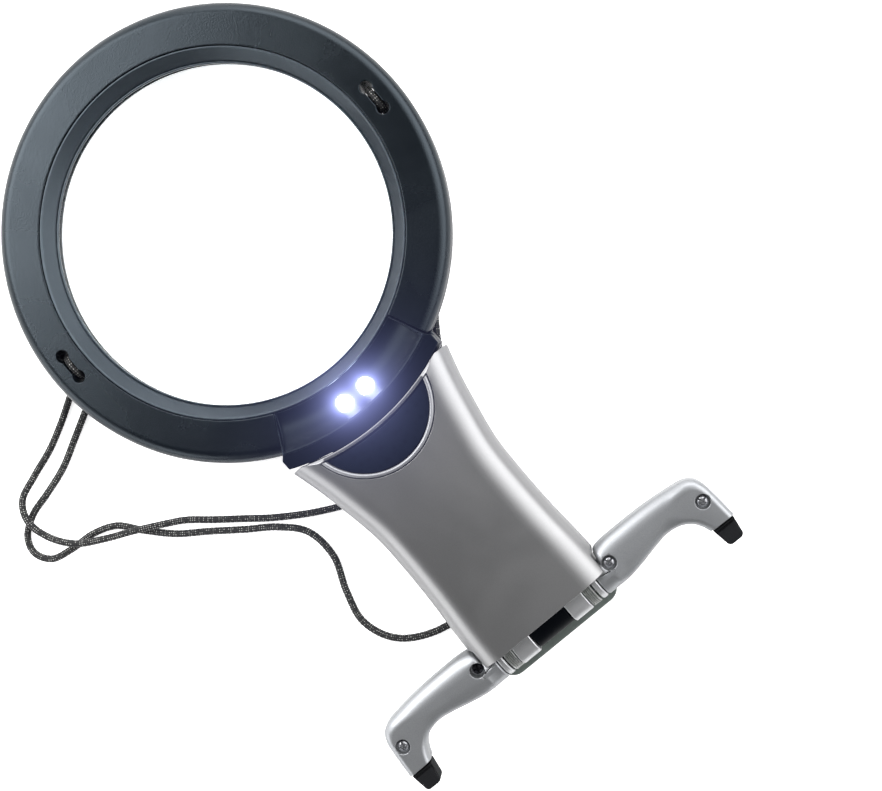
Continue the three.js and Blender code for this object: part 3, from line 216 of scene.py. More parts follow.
class Solid:
    """A closed draft in millimetres, which can be joined, cut and trimmed."""

    def __init__(self, data: bpy.types.Mesh) -> None:
        """Puts the draft in the scene."""
        self.obj = in_scene("draft", data)

    def _combine(self, operation: str, others: Iterable["Solid"]) -> "Solid":
        """Runs a boolean operation with each of the others, which are used up.

        Args:
            operation: Blender's name of the operation.
            others: The other drafts.

        Returns:
            This draft.
        """
        tools = [other.obj for other in others]
        for tool in tools:
            step = self.obj.modifiers.new(operation.lower(), "BOOLEAN")
            step.operation = operation
            step.solver = "EXACT"
            step.object = tool
        graph = bpy.context.evaluated_depsgraph_get()
        result = bpy.data.meshes.new_from_object(self.obj.evaluated_get(graph))
        old = self.obj.data
        self.obj.modifiers.clear()
        self.obj.data = result
        for used in (old, *(tool.data for tool in tools)):
            bpy.data.meshes.remove(used)
        return self

    def join(self, *others: "Solid") -> "Solid":
        """Joins other drafts on to this one."""
        return self._combine("UNION", others)

    def cut(self, *others: "Solid") -> "Solid":
        """Cuts other drafts out of this one."""
        return self._combine("DIFFERENCE", others)

    def keep(self, other: "Solid") -> "Solid":
        """Keeps what lies inside another draft."""
        return self._combine("INTERSECT", [other])

    def placed(self, matrix: Matrix) -> "Solid":
        """Moves, turns or mirrors the draft.

        Args:
            matrix: The move.

        Returns:
            This draft.
        """
        self.obj.data.transform(matrix)
        if matrix.determinant() < 0:
            self.obj.data.flip_normals()
        return self

    def on_side(self, side: Side) -> "Solid":
        """Leaves a draft of the right side alone, and mirrors it for the left side."""
        return self.placed(Matrix.Diagonal((side.value, 1, 1, 1)))

    def copy(self) -> "Solid":
        """A second draft of the same shape."""
        return Solid(self.obj.data.copy())


def drafted(mesh: Mesh) -> Solid:
    """Merges a bmesh's doubles, turns its faces outwards and frees it.

    Args:
        mesh: The bmesh.

    Returns:
        Its draft.
    """
    bmesh.ops.remove_doubles(mesh, verts=mesh.verts, dist=1e-4)
    bmesh.ops.recalc_face_normals(mesh, faces=mesh.faces)
    data = bpy.data.meshes.new("draft")
    mesh.to_mesh(data)
    mesh.free()
    return Solid(data)


def turned(profile: Sequence[Point], steps: int, sweep: float = 360.0) -> Solid:
    """A closed profile spun about the vertical axis through the lens.

    Args:
        profile: Points of (radius, height).
        steps: Number of steps round the sweep.
        sweep: Angle in degrees, centred on the handle where it isn't a full turn.

    Returns:
        The draft.
    """
    mesh = bmesh.new()
    full = sweep >= 360.0
    start = Matrix.Rotation(radians(-90 - sweep / 2), 3, "Z")
    verts = [mesh.verts.new(start @ Vector((radius, 0, height))) for radius, height in profile]
    if full:
        geometry = verts + [
            mesh.edges.new((a, b)) for a, b in zip(verts, verts[1:] + verts[:1])
            if (a.co - b.co).length > TINY and max(a.co.xy.length, b.co.xy.length) >= TINY
        ]
    else:
        face = mesh.faces.new(verts)
        geometry = [*verts, *face.edges, face]
    bmesh.ops.spin(
        mesh, geom=geometry, cent=(0, 0, 0), axis=(0, 0, 1),
        angle=radians(sweep), steps=steps, use_merge=full, use_duplicate=False,
    )
    return drafted(mesh)


def prism(
    outline: Sequence[Point], low: float, high: float, top: float = 0.0, bottom: float = 0.0, steps: int = 0,
) -> Solid:
    """An outline pulled up, with its edges rounded over by small insets where a radius is given.

    Args:
        outline: Points of (across, down).
        low: Height of the lower face.
        high: Height of the upper face.
        top: Radius of the upper edge.
        bottom: Radius of the lower edge.
        steps: Insets on each rounded edge.

    Returns:
        The draft.
    """
    mesh = bmesh.new()
    base = mesh.faces.new([mesh.verts.new((x, -down, low + bottom)) for x, down in outline])
    raised = bmesh.ops.extrude_face_region(mesh, geom=[base])["geom"]
    upper = [v for v in raised if isinstance(v, bmesh.types.BMVert)]
    bmesh.ops.translate(mesh, verts=upper, vec=(0, 0, (high - top) - (low + bottom)))
    bmesh.ops.recalc_face_normals(mesh, faces=mesh.faces)
    flat = sorted(mesh.faces, key=lambda face: face.calc_center_median().z)
    for face, radius in ((flat[-1], top), (flat[0], bottom)):
        for i in range(steps if radius > 0 else 0):
            a, b = (radians(90 * k / steps) for k in (i, i + 1))
            bmesh.ops.inset_region(
                mesh, faces=[face], use_boundary=True, use_even_offset=True,
                thickness=radius * (cos(a) - cos(b)), depth=radius * (sin(b) - sin(a)),
            )
    return drafted(mesh)


def lofted(loops: Sequence[Sequence[Vector]]) -> Solid:
    """A skin bridged over loops of points, with both ends filled.

    Args:
        loops: Loops of equally many points.

    Returns:
        The draft.
    """
    mesh = bmesh.new()
    rings: list[list[bmesh.types.BMEdge]] = []
    for loop in loops:
        verts = [mesh.verts.new(point) for point in loop]
        rings.append([mesh.edges.new(pair) for pair in zip(verts, verts[1:] + verts[:1])])
    for first, second in zip(rings, rings[1:]):
        bmesh.ops.bridge_loops(mesh, edges=first + second)
    for ring in (rings[0], rings[-1]):
        bmesh.ops.contextual_create(mesh, geom=ring)
    return drafted(mesh)


def block(low: Corner, high: Corner) -> Solid:
    """A block between two corners.

    Args:
        low: One corner as (across, down, up).
        high: The corner across from it.

    Returns:
        The draft.
    """
    mesh = bmesh.new()
    size = [abs(b - a) for a, b in zip(low, high)]
    middle = [(a + b) / 2 for a, b in zip(low, high)]
    place = Matrix.Translation((middle[0], -middle[1], middle[2])) @ Matrix.Diagonal((*size, 1))
    bmesh.ops.create_cube(mesh, size=1, matrix=place)
    return drafted(mesh)


def slab(half: float, start: float, end: float, low: float, high: float) -> Solid:
    """A block centred across, between two places down the handle and two heights."""
    return block((-half, start, low), (half, end, high))


def pin(x: float, down: float, radius: float, low: float, high: float, segments: int = 48) -> Solid:
    """A round pin standing up.

    Args:
        x: Place across.
        down: Place down the handle.
        radius: Its radius.
        low: Height of its foot.
        high: Height of its top.
        segments: Number of its sides.

    Returns:
        The draft.
    """
    mesh = bmesh.new()
    bmesh.ops.create_cone(
        mesh, cap_ends=True, segments=segments, radius1=radius, radius2=radius, depth=high - low,
        matrix=Matrix.Translation((x, -down, (low + high) / 2)),
    )
    return drafted(mesh)


def barrel(profile: Sequence[Point], steps: int = 64) -> Solid:
    """A profile of (radius, across) spun about the hinge's axis."""
    place = Matrix.Translation((0, -PLAN.barrel_reach, PLAN.axis_height))
    return turned(profile, steps).placed(place @ Matrix.Rotation(radians(90), 4, "Y"))


def bar(x0: float, x1: float, radius: float) -> Solid:
    """A plain round bar on the hinge's axis."""
    return barrel([(0, x0), (radius, x0), (radius, x1), (0, x1)])


def sector(inner: float, outer: float, half_angle: float, steps: int = 48) -> list[Point]:
    """Plan outline of a sector about the handle's line."""
    start, end = 90 - half_angle, 90 + half_angle
    return arc((0, 0), outer, start, end, steps) + arc((0, 0), inner, end, start, steps)


# Wiring of materials


class Wiring:
    """A node tree and short ways to fill it."""

    def __init__(self, tree: Tree, prefix: str = "ShaderNode") -> None:
        """Takes over a tree, whose node types start with the prefix."""
        self.tree, self.prefix = tree, prefix

    def node(self, kind: str, inputs: Inputs | None = None, **settings: object) -> Node:
        """Adds a node.

        Args:
            kind: Blender's name of the node type, without its prefix.
            inputs: A value or a socket for each input, by name or number.
            **settings: Properties of the node itself.

        Returns:
            The new node.
        """
        node = self.tree.nodes.new(self.prefix + kind)
        for label, value in settings.items():
            setattr(node, label, value)
        self.fill(node, inputs or {})
        return node

    def fill(self, node: Node, inputs: Inputs) -> None:
        """Links or sets inputs of a node.

        Args:
            node: The node.
            inputs: A value or a socket for each input, by name or number.
        """
        for label, value in inputs.items():
            if isinstance(value, Socket):
                self.tree.links.new(value, node.inputs[label])
            else:
                node.inputs[label].default_value = value

    def math(self, operation: str, *values: object, clamp: bool = False) -> Socket:
        """A math node's output."""
        return self.node("Math", dict(enumerate(values)), operation=operation, use_clamp=clamp).outputs[0]

    def dot(self, first: object, second: object) -> Socket:
        """The dot product of two vectors."""
        return self.node("VectorMath", {0: first, 1: second}, operation="DOT_PRODUCT").outputs["Value"]

    def spread(self, value: object, low: object, high: object, to: Point = (0, 1), **settings: str) -> Socket:
        """Maps a value from low..high to another range, held within it."""
        inputs = {"Value": value, "From Min": low, "From Max": high, "To Min": to[0], "To Max": to[1]}
        return self.node("MapRange", inputs, **settings).outputs[0]

    def place(self, kind: str = "Object") -> Socket:
        """Coordinates of one kind."""
        return self.node("TexCoord").outputs[kind]


class ShaderGroup(Wiring):
    """A node group under construction."""

    def __init__(self, name: str, inputs: dict[str, float], outputs: Sequence[str]) -> None:
        """Opens a group.

        Args:
            name: Its name.
            inputs: Float inputs with their default values.
            outputs: Names of the float outputs.
        """
        super().__init__(bpy.data.node_groups.new(name, "ShaderNodeTree"))
        face = self.tree.interface
        for label, value in inputs.items():
            face.new_socket(label, in_out="INPUT", socket_type="NodeSocketFloat").default_value = value
        for label in outputs:
            face.new_socket(label, in_out="OUTPUT", socket_type="NodeSocketFloat")
        self.start = self.tree.nodes.new("NodeGroupInput")
        self.end = self.tree.nodes.new("NodeGroupOutput")
        self.spot = self.place()

    def given(self, label: str) -> Socket:
        """One of the group's inputs."""
        return self.start.outputs[label]

    def noise(self, scale: object, detail: float, **more: float) -> Socket:
        """Cloudy noise over the piece."""
        inputs = {"Vector": self.spot, "Scale": scale, "Detail": detail, **more}
        return self.node("TexNoise", inputs).outputs[0]

    def cells(self, scale: object) -> Outputs:
        """Cells over the piece, each with a random colour."""
        return self.node("TexVoronoi", {"Vector": self.spot, "Scale": scale}, feature="F1").outputs

    def chance(self, cells: Outputs) -> Socket:
        """One random value for each cell."""
        return self.node("SeparateColor", {0: cells["Color"]}).outputs[0]

    def put(self, **results: Socket) -> None:
        """Feeds the group's outputs."""
        self.fill(self.end, results)


class Effects:
    """The node groups that the finishes share, each built once."""

    def __init__(self) -> None:
        """Builds every group."""
        self.grain()
        self.wear()
        self.haze()
        self.flake()
        self.braid()

    def grain(self) -> None:
        """Fine moulded grain: a height, and the share of its low spots. Size is in millimetres."""
        group = ShaderGroup("moulded_grain", {"Size": 0.5}, ("Height", "Pits"))
        scale = group.math("DIVIDE", 1 / MM, group.given("Size"))
        height = group.math("ADD", group.cells(scale)["Distance"], group.noise(scale, 3.0))
        group.put(Height=height, Pits=group.spread(height, 1.0, 0.55))

    def wear(self) -> None:
        """Rubbed edges, broken up by noise. Reach is in millimetres."""
        group = ShaderGroup("edge_wear", {"Reach": 0.5, "Break": 0.5}, ("Mask",))
        rounded = group.node("Bevel", {"Radius": group.math("MULTIPLY", group.given("Reach"), MM)}, samples=6)
        facing = group.dot(rounded.outputs[0], group.node("NewGeometry").outputs["Normal"])
        broken = group.spread(group.noise(420.0, 4.0), group.given("Break"), 0.75)
        group.put(Mask=group.math("MULTIPLY", group.spread(facing, 0.995, 0.93), broken, clamp=True))

    def haze(self) -> None:
        """Faint cloudy smears of handling and settled dust."""
        group = ShaderGroup("handling_haze", {"Scale": 40.0}, ("Smear", "Dust"))
        cells = group.cells(520.0)
        specks = group.spread(cells["Distance"], 0.12, 0.04), group.spread(group.chance(cells), 0.9, 0.95)
        clouds = group.noise(group.given("Scale"), 5.0, Distortion=0.6)
        group.put(Smear=group.spread(clouds, 0.35, 0.65), Dust=group.math("MULTIPLY", *specks, clamp=True))

    def flake(self) -> None:
        """Metallic flakes of sprayed silver, and a finer orange-peel height. Size is in millimetres."""
        group = ShaderGroup("silver_flake", {"Size": 0.12}, ("Flake", "Peel"))
        cells = group.cells(group.math("DIVIDE", 1 / MM, group.given("Size")))
        group.put(Flake=group.chance(cells), Peel=group.noise(900.0, 2.0))

    def braid(self) -> None:
        """Yarns of a round braid on a UV map with turns across U and millimetres along V."""
        group = ShaderGroup("cord_braid", {"Pitch": 7.5, "Carriers": 5.0}, ("Height", "Fleck"))
        parts = group.node("SeparateXYZ", {0: group.place("UV")}).outputs
        along = group.math("DIVIDE", parts["Y"], group.given("Pitch"))
        yarns = []
        for operation in ("ADD", "SUBTRACT"):
            turn = group.math("MULTIPLY", group.math(operation, parts["X"], along), group.given("Carriers"))
            yarns.append(group.math("SINE", group.math("MULTIPLY", turn, 2 * pi)))
        over = group.math("MULTIPLY", *yarns)
        # The raised crowns where the yarns cross get a light colour: a painted highlight standing in for
        # glints on the braid.
        crown, light = group.spread(over, 0.5, 0.8), group.spread(group.noise(900.0, 1.0), 0.47, 0.56)
        fleck = group.math("MULTIPLY", crown, light, clamp=True)
        group.put(Height=group.math("MULTIPLY_ADD", over, 0.5, 0.5), Fleck=fleck)


# Finishes


def shade(*channels: int) -> Colour:
    """A linear colour from 8-bit display values."""
    shares = [c / 255 for c in channels]
    return (*[s / 12.92 if s <= 0.04045 else ((s + 0.055) / 1.055) ** 2.4 for s in shares], 1.0)


def dimmed(colour: Colour, share: float) -> Colour:
    """A darker colour of the same hue."""
    return (*[share * c for c in colour[:3]], 1.0)


class Canvas(Wiring):
    """A material under construction round one Principled shader."""

    def __init__(self, name: str) -> None:
        """Starts an empty node material.

        Args:
            name: Its name.
        """
        self.material = bpy.data.materials.new(name)
        self.material.use_nodes = True
        super().__init__(self.material.node_tree)
        self.tree.nodes.clear()
        self.shader = self.node("BsdfPrincipled")
        self.out = self.node("OutputMaterial", {"Surface": self.shader.outputs[0]})

    def set(self, **values: object) -> None:
        """Sets or links the shader's sockets, with underscores for the spaces in their names."""
        self.fill(self.shader, {label.replace("_", " "): value for label, value in values.items()})

    def group(self, name: str, **values: float) -> Outputs:
        """Places a shared effect with its own values and gives its outputs."""
        return self.node("Group", values, node_tree=bpy.data.node_groups[name]).outputs

    def blend(self, share: object, first: object, second: object) -> Socket:
        """Mixes two colours."""
        return self.node("Mix", {0: share, 6: first, 7: second}, data_type="RGBA").outputs[2]

    def bump(self, height: object, distance: float, strength: float = 1.0) -> None:
        """Feeds a height to the shader's normal. The distance is in millimetres."""
        inputs = {"Height": height, "Distance": distance * MM, "Strength": strength}
        self.set(Normal=self.node("Bump", inputs).outputs[0])


@dataclass(frozen=True)
class Finish:
    """A finish, which is one material."""

    name: str

    def build(self) -> Material:
        """Makes the material.

        Returns:
            The material.
        """
        canvas = Canvas(self.name)
        self.wire(canvas)
        return canvas.material

    def wire(self, canvas: Canvas) -> None:
        """Wires up the shader on a canvas. Each finish has its own way."""
        raise NotImplementedError


@dataclass(frozen=True)
class Plastic(Finish):
    """A moulded plastic, from matt and grained to polished.

    Attributes:
        colour: Main colour.
        rubbed: Colour of the rubbed edges.
        roughness: Roughness of the smooth and of the smeared places.
        grain: Size of the grain in millimetres.
        relief: Depth of the grain in millimetres.
        coat: Weight of a clear coat.
        specular: Specular level.
        wear: Reach of the rubbed edges in millimetres.
        shine: Tint of the shine.
    """

    colour: Colour
    rubbed: Colour
    roughness: Point
    grain: float = 0.5
    relief: float = 0.02
    coat: float = 0.0
    specular: float = 0.5
    shine: Colour = (0.74, 0.88, 1.0, 1.0)
    wear: float = 0.5

    def wire(self, canvas: Canvas) -> None:
        """Wires a grained, rubbed and coated plastic.

        Args:
            canvas: The material's canvas.
        """
        grain = canvas.group("moulded_grain", Size=self.grain)
        haze = canvas.group("handling_haze")
        wear = canvas.group("edge_wear", Reach=self.wear)
        base = canvas.blend(grain["Pits"], self.colour, dimmed(self.colour, 0.72))
        canvas.set(
            Base_Color=canvas.blend(wear["Mask"], base, self.rubbed),
            Roughness=canvas.spread(haze["Smear"], 0, 1, self.roughness),
            Specular_IOR_Level=self.specular,
            Specular_Tint=self.shine,
            Coat_Weight=self.coat,
            Coat_Roughness=0.08,
        )
        canvas.bump(grain["Height"], self.relief)


@dataclass(frozen=True)
class SprayedSilver(Finish):
    """Silver paint on plastic, with fine flakes under a clear coat."""

    light: Colour
    dark: Colour
    roughness: Point
    metallic: float = 0.85
    coat: float = 0.3
    worn: Colour = shade(205, 206, 208)

    def wire(self, canvas: Canvas) -> None:
        """Wires flakes of two shades, brighter where rubbed.

        Args:
            canvas: The material's canvas.
        """
        flake = canvas.group("silver_flake", Size=0.09)
        haze = canvas.group("handling_haze", Scale=28.0)
        wear = canvas.group("edge_wear", Reach=0.4)
        paint = canvas.blend(flake["Flake"], self.dark, self.light)
        canvas.set(
            Base_Color=canvas.blend(wear["Mask"], paint, self.worn),
            Metallic=self.metallic,
            Roughness=canvas.spread(haze["Smear"], 0, 1, self.roughness),
            Coat_Weight=self.coat,
            Coat_Roughness=0.12,
        )
        canvas.bump(flake["Peel"], 0.004)


@dataclass(frozen=True)
class BrightMetal(Finish):
    """Turned or plated metal with fine tool marks along one direction."""

    colour: Colour
    roughness: Point
    marks: Corner = (6000.0, 200.0, 200.0)

    def wire(self, canvas: Canvas) -> None:
        """Wires long streaks into the colour, the roughness and the relief.

        Args:
            canvas: The material's canvas.
        """
        along = canvas.node("Mapping", {"Vector": canvas.place(), "Scale": self.marks}).outputs[0]
        lines = canvas.node("TexNoise", {"Vector": along, "Scale": 1.0, "Detail": 2.0}).outputs[0]
        haze = canvas.group("handling_haze", Scale=60.0)
        streaked = canvas.blend(lines, dimmed(self.colour, 0.7), self.colour)
        canvas.set(
            Base_Color=canvas.blend(haze["Smear"], self.colour, streaked),
            Metallic=1.0,
            Roughness=canvas.spread(lines, 0, 1, self.roughness),
        )
        canvas.bump(lines, 0.01, 0.6)


@dataclass(frozen=True)
class Rubber(Finish):
    """Soft dull rubber with a bloom of pale dust."""

    colour: Colour
    bloom: Colour
    roughness: Point = (0.7, 0.92)

    def wire(self, canvas: Canvas) -> None:
        """Wires a coarse grain under a pale haze.

        Args:
            canvas: The material's canvas.
        """
        grain = canvas.group("moulded_grain", Size=0.35)
        haze = canvas.group("handling_haze", Scale=90.0)
        canvas.set(
            Base_Color=canvas.blend(canvas.spread(haze["Smear"], 0, 1, (0.0, 0.4)), self.colour, self.bloom),
            Roughness=canvas.spread(grain["Pits"], 0, 1, self.roughness),
            Specular_IOR_Level=0.2,
        )
        canvas.bump(grain["Height"], 0.03)


@dataclass(frozen=True)
class BraidedYarn(Finish):
    """Braided nylon yarn with painted highlights on the crowns where the yarns cross."""

    colour: Colour
    fleck: Colour

    def wire(self, canvas: Canvas) -> None:
        """Wires the braid into the colour, the roughness and the relief.

        Args:
            canvas: The material's canvas.
        """
        braid = canvas.group("cord_braid")
        # The light colour on the braid's crowns is a painted highlight.
        canvas.set(
            Base_Color=canvas.blend(braid["Fleck"], self.colour, self.fleck),
            Roughness=canvas.spread(braid["Height"], 0, 1, (0.9, 0.55)),
            Sheen_Weight=0.1,
            Sheen_Roughness=0.4,
        )
        canvas.bump(braid["Height"], 0.1)


@dataclass(frozen=True)
class ClearAcrylic(Finish):
    """Polished acrylic that lets the light of the lamps and the studio through."""

    tint: Colour
    index: float = 1.49

    def wire(self, canvas: Canvas) -> None:
        """Wires a glass that shadow rays pass through.

        Args:
            canvas: The material's canvas.
        """
        haze = canvas.group("handling_haze", Scale=30.0)
        dust = canvas.spread(haze["Dust"], 0, 1, (0.0, 0.03))
        canvas.set(Base_Color=self.tint, Transmission_Weight=1.0, IOR=self.index, Roughness=dust)
        clear = canvas.node("BsdfTransparent").outputs[0]
        ray = canvas.node("LightPath").outputs["Is Shadow Ray"]
        mixed = canvas.node("MixShader", {0: ray, 1: canvas.shader.outputs[0], 2: clear}).outputs[0]
        canvas.fill(canvas.out, {"Surface": mixed})


@dataclass(frozen=True)
class LitLamp(Finish):
    """A lit lamp: a clear body that glows from its tip down to the edge of its dome.

    Attributes:
        glow: Colour of the light.
        strength: Strength of the light.
        lean: Direction of the lamp's axis in the plane of the handle, as (along, up).
        span: Places along that axis where the glow starts and where it is full, in millimetres.
    """

    glow: Colour
    strength: float
    lean: Point = (0.616, 0.788)
    span: Point = (2.5, 4.9)

    def wire(self, canvas: Canvas) -> None:
        """Wires the glow along the lamp.

        Args:
            canvas: The material's canvas.
        """
        haze = canvas.group("handling_haze", Scale=300.0)
        along = canvas.dot(canvas.place(), (0.0, self.lean[0] / MM, self.lean[1] / MM))
        lit = canvas.spread(along, *self.span, interpolation_type="SMOOTHSTEP")
        light = canvas.blend(haze["Smear"], self.glow, shade(250, 250, 255))
        canvas.set(
            Base_Color=canvas.blend(haze["Smear"], shade(120, 128, 170), shade(150, 156, 190)),
            Roughness=0.15,
            Emission_Color=canvas.blend(lit, (0.004, 0.005, 0.012, 1.0), light),
            Emission_Strength=self.strength,
        )


class Paint(Enum):
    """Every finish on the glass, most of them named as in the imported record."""

    CLEAR = ClearAcrylic("clear_acrylic", shade(252, 254, 255))
    BEVEL = Plastic("bevel_black", shade(25, 30, 36), shade(76, 84, 94), (0.28, 0.36), 0.3, 0.004, 0.0, 0.9)
    SATIN = Plastic("satin_black", shade(8, 12, 16), shade(54, 62, 72), (0.23, 0.3), 0.48, 0.021)
    GLOSS = Plastic("gloss_black", shade(13, 18, 27), shade(40, 47, 60), (0.28, 0.34), 2.2, 0.003, 0.0, 0.09)
    HOOD = Plastic("hood_black", shade(9, 13, 20), shade(40, 47, 60), (0.3, 0.38), 1.2, 0.002, 0.0, 0.13)
    SLEEVE = Plastic("sleeve_black", shade(5, 6, 8), shade(30, 32, 36), (0.4, 0.5), 0.3, 0.01, 0.0, 0.07)
    LAMP = LitLamp("lamp_white", shade(214, 224, 255), 30.0)
    BOARD = Plastic("board_green", shade(24, 84, 56), shade(120, 150, 110), (0.3, 0.45), 0.8, 0.01)
    SILVER = SprayedSilver(
        "silver_shell", shade(150, 150, 151), shade(141, 141, 142), (0.3, 0.36), 0.84, 0.15,
    )
    LEG = SprayedSilver("silver_leg", shade(158, 160, 163), shade(142, 144, 147), (0.32, 0.4), 0.7, 0.1)
    BEAD = SprayedSilver("silver_bead", shade(150, 151, 154), shade(142, 143, 146), (0.3, 0.36), 0.55, 0.1)
    BRIGHT = SprayedSilver("bright_silver", shade(200, 201, 203), shade(186, 187, 189), (0.3, 0.38), 0.74)
    DARK = SprayedSilver("dark_silver", shade(158, 160, 158), shade(132, 134, 132), (0.3, 0.4), 0.65)
    SCREW = BrightMetal("screw_steel", shade(178, 179, 183), (0.25, 0.4))
    # A dark copy of the screw steel: painted shade for the screw that sits deep in its well.
    SUNK = BrightMetal("sunk_screw", shade(58, 58, 62), (0.3, 0.45))
    INNER = Plastic("inner_black", shade(30, 31, 33), shade(70, 71, 73), (0.5, 0.65), 0.6, 0.02)
    JACKET = SprayedSilver("cell_jacket", shade(150, 154, 158), shade(120, 124, 128), (0.3, 0.45), 0.4)
    FOOT = Rubber("foot_grey", shade(88, 96, 92), shade(114, 122, 118))
    RUBBER = Rubber("soft_black", shade(8, 9, 12), shade(22, 24, 28))
    # The cord's second colour is a painted highlight on the crowns of its braid.
    CORD = BraidedYarn("cord_black", shade(9, 10, 12), shade(182, 182, 178))

    @property
    def slot(self) -> str:
        """The record's material slot that the finish belongs to."""
        return SHARED_SLOTS.get(self, self).value.name

    @cache
    def material(self) -> Material:
        """The finish's material, made when it is first asked for."""
        return self.value.build()


SHARED_SLOTS = {
    Paint.LEG: Paint.SILVER, Paint.SLEEVE: Paint.GLOSS, Paint.HOOD: Paint.GLOSS,
    Paint.BEAD: Paint.BRIGHT, Paint.SUNK: Paint.SCREW,
}


# Sub-assemblies


@dataclass
class Assembly:
    """A sub-assembly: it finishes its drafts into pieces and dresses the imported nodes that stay."""

    nodes: dict[str, Piece]

    def finish(
        self, draft: Solid, name: str, paint: Paint, body: Body = Body.GLASS, edge: float = 0.15,
        angle: float = 32.0,
    ) -> None:
        """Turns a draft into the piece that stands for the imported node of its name.

        Args:
            draft: The draft in millimetres about the lens.
            name: The node's name.
            paint: The piece's finish.
            body: The body it rides on.
            edge: Width of the small rounding on its sharp edges in millimetres, 0 for none.
            angle: Angle in degrees from which an edge counts as sharp.
        """
        piece = draft.obj
        data = piece.data
        data.transform(TO_FRAME)
        data.validate(clean_customdata=False)
        mesh = bmesh.new()
        mesh.from_mesh(data)
        bmesh.ops.remove_doubles(mesh, verts=mesh.verts, dist=2 * TINY)
        bmesh.ops.dissolve_degenerate(mesh, edges=mesh.edges, dist=2 * TINY)
        bmesh.ops.recalc_face_normals(mesh, faces=mesh.faces)
        mesh.to_mesh(data)
        mesh.free()
        piece.name = data.name = f"{name}_piece"
        data.materials.clear()
        data.shade_smooth()
        data.set_sharp_from_angle(angle=radians(angle))
        if edge:
            bevel = piece.modifiers.new("edges", "BEVEL")
            bevel.width = edge * MM
            bevel.segments = 2
            bevel.limit_method = "ANGLE"
            bevel.angle_limit = radians(angle)
            bevel.use_clamp_overlap = False
            bevel.harden_normals = True
        self.declare(piece, paint, body, [name])

    def declare(self, piece: Piece, paint: Paint, body: Body, nodes: Iterable[str]) -> None:
        """Dresses a piece, makes it ride on its body and lets it stand for its nodes.

        Args:
            piece: The piece.
            paint: Its finish.
            body: The body it rides on.
            nodes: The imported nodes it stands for.
        """
        piece.data.materials.append(paint.material())
        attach(piece, body.value)
        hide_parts(*nodes)
        log.info("%s: %d faces, for %s", piece.name, len(piece.data.polygons), ", ".join(nodes))

    def dress(self, paint: Paint, *names: str) -> None:
        """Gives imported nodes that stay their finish.

        Args:
            paint: The finish.
            *names: The nodes' names.
        """
        for name in names:
            node = self.nodes[name]
            if not node.material_slots:
                node.data.materials.append(paint.material())
            for slot in node.material_slots:
                slot.material = paint.material()
            log.info("%s: dressed in %s", name, paint.material().name)


@dataclass
class LensCell(Assembly):
    """The lens and the bevelled ring that holds it down."""

    bevel_outer: float = PLAN.ring_bore - GAP / 2
    bevel_inner: float = PLAN.lens_radius - PLAN.ledge
    bevel_drop: float = 4.2
    bevel_rim: float = 0.5
    radial_steps: int = 28
    steps: int = 192

    def _face(self, up: int) -> list[Point]:
        """One face of the lens from its middle to its rim, as (radius, height)."""
        radii = [PLAN.lens_radius * i / self.radial_steps for i in range(self.radial_steps + 1)]
        return [(r, PLAN.lens_middle + up * (PLAN.lens_edge / 2 + lens_rise(r))) for r in radii]

    def lens(self) -> None:
        """The clear lens, thick in the middle."""
        draft = turned(self._face(1) + self._face(-1)[::-1], self.steps)
        self.finish(draft, "lens", Paint.CLEAR, edge=0.0, angle=60)

    def bevelled_ring(self) -> None:
        """The sloping ring between the lens and the frame, with a lip at each edge."""
        inner, outer, rim = self.bevel_inner, self.bevel_outer, self.bevel_rim
        under = PLAN.lens_middle + PLAN.lens_edge / 2 + lens_rise(inner) + GAP
        top = PLAN.ring_face - GAP
        low = top - self.bevel_drop
        brow, foot = Vector((outer - rim - 0.25, top - 0.22)), Vector((inner + 0.85, low + 0.45))
        profile = [
            (inner, under), (outer, under), (outer, top - 0.15), (outer - 0.15, top), (outer - rim, top),
            *[tuple(brow.lerp(foot, share)) for share in (0, 0.06, 0.94, 1)],
            (inner + 0.65, low - 0.1), (inner + 0.5, low + 0.15), (inner + 0.2, low + 0.2), (inner, low),
        ]
        self.finish(turned(profile, self.steps), "lens_retaining_ring", Paint.BEVEL, edge=0.06, angle=40)

    def build(self) -> None:
        """Builds both pieces."""
        self.lens()
        self.bevelled_ring()


@dataclass
class Screw:
    """A cross-head screw, drafted standing on its tip."""

    length: float
    head_radius: float = 1.75
    head_height: float = 1.3
    shank_radius: float = 1.05
    thread_depth: float = 0.25
    cross_width: float = 0.55
    cross_depth: float = 1.0
    pitch: float = 0.8

    def draft(self) -> Solid:
        """The screw with its thread, its domed head and its cross.

        Returns:
            The draft.
        """
        dome = self.head_height / 3
        top = self.length + self.head_height
        core = self.shank_radius - self.thread_depth
        thread: list[Point] = []
        for i in range(int(self.length / self.pitch)):
            z = 0.3 + i * self.pitch
            thread += [(core, z), (self.shank_radius, z + self.pitch / 2)]
        profile = [
            (0, 0), *thread, (core, self.length), (self.head_radius - 0.1, self.length + dome),
            (self.head_radius, self.length + dome + 0.1), (self.head_radius - 0.08, top - dome),
            (self.head_radius * 0.8, top - 0.22), (self.head_radius * 0.5, top - 0.05), (0, top),
        ]
        reach, half = self.head_radius * 0.78, self.cross_width / 2
        low, high = top - self.cross_depth, top + OVERRUN
        cross = [slab(x, -y, y, low, high) for x, y in ((reach, half), (half, reach))]
        return turned(profile, 36).cut(*cross)

    def from_front(self, x: float, down: float, seat: float, turn: float = 20.0) -> Solid:
        """The screw driven in from the front, with its head's underside at the seat."""
        place = Matrix.Translation((x, -down, seat - self.length))
        return self.draft().placed(place @ Matrix.Rotation(radians(turn), 4, "Z"))

    def from_back(self, x: float, down: float, seat: float, turn: float = 35.0) -> Solid:
        """The screw driven in from the back."""
        place = Matrix.Translation((x, -down, seat + self.length)) @ Matrix.Rotation(pi, 4, "X")
        return self.draft().placed(place @ Matrix.Rotation(radians(turn), 4, "Z"))


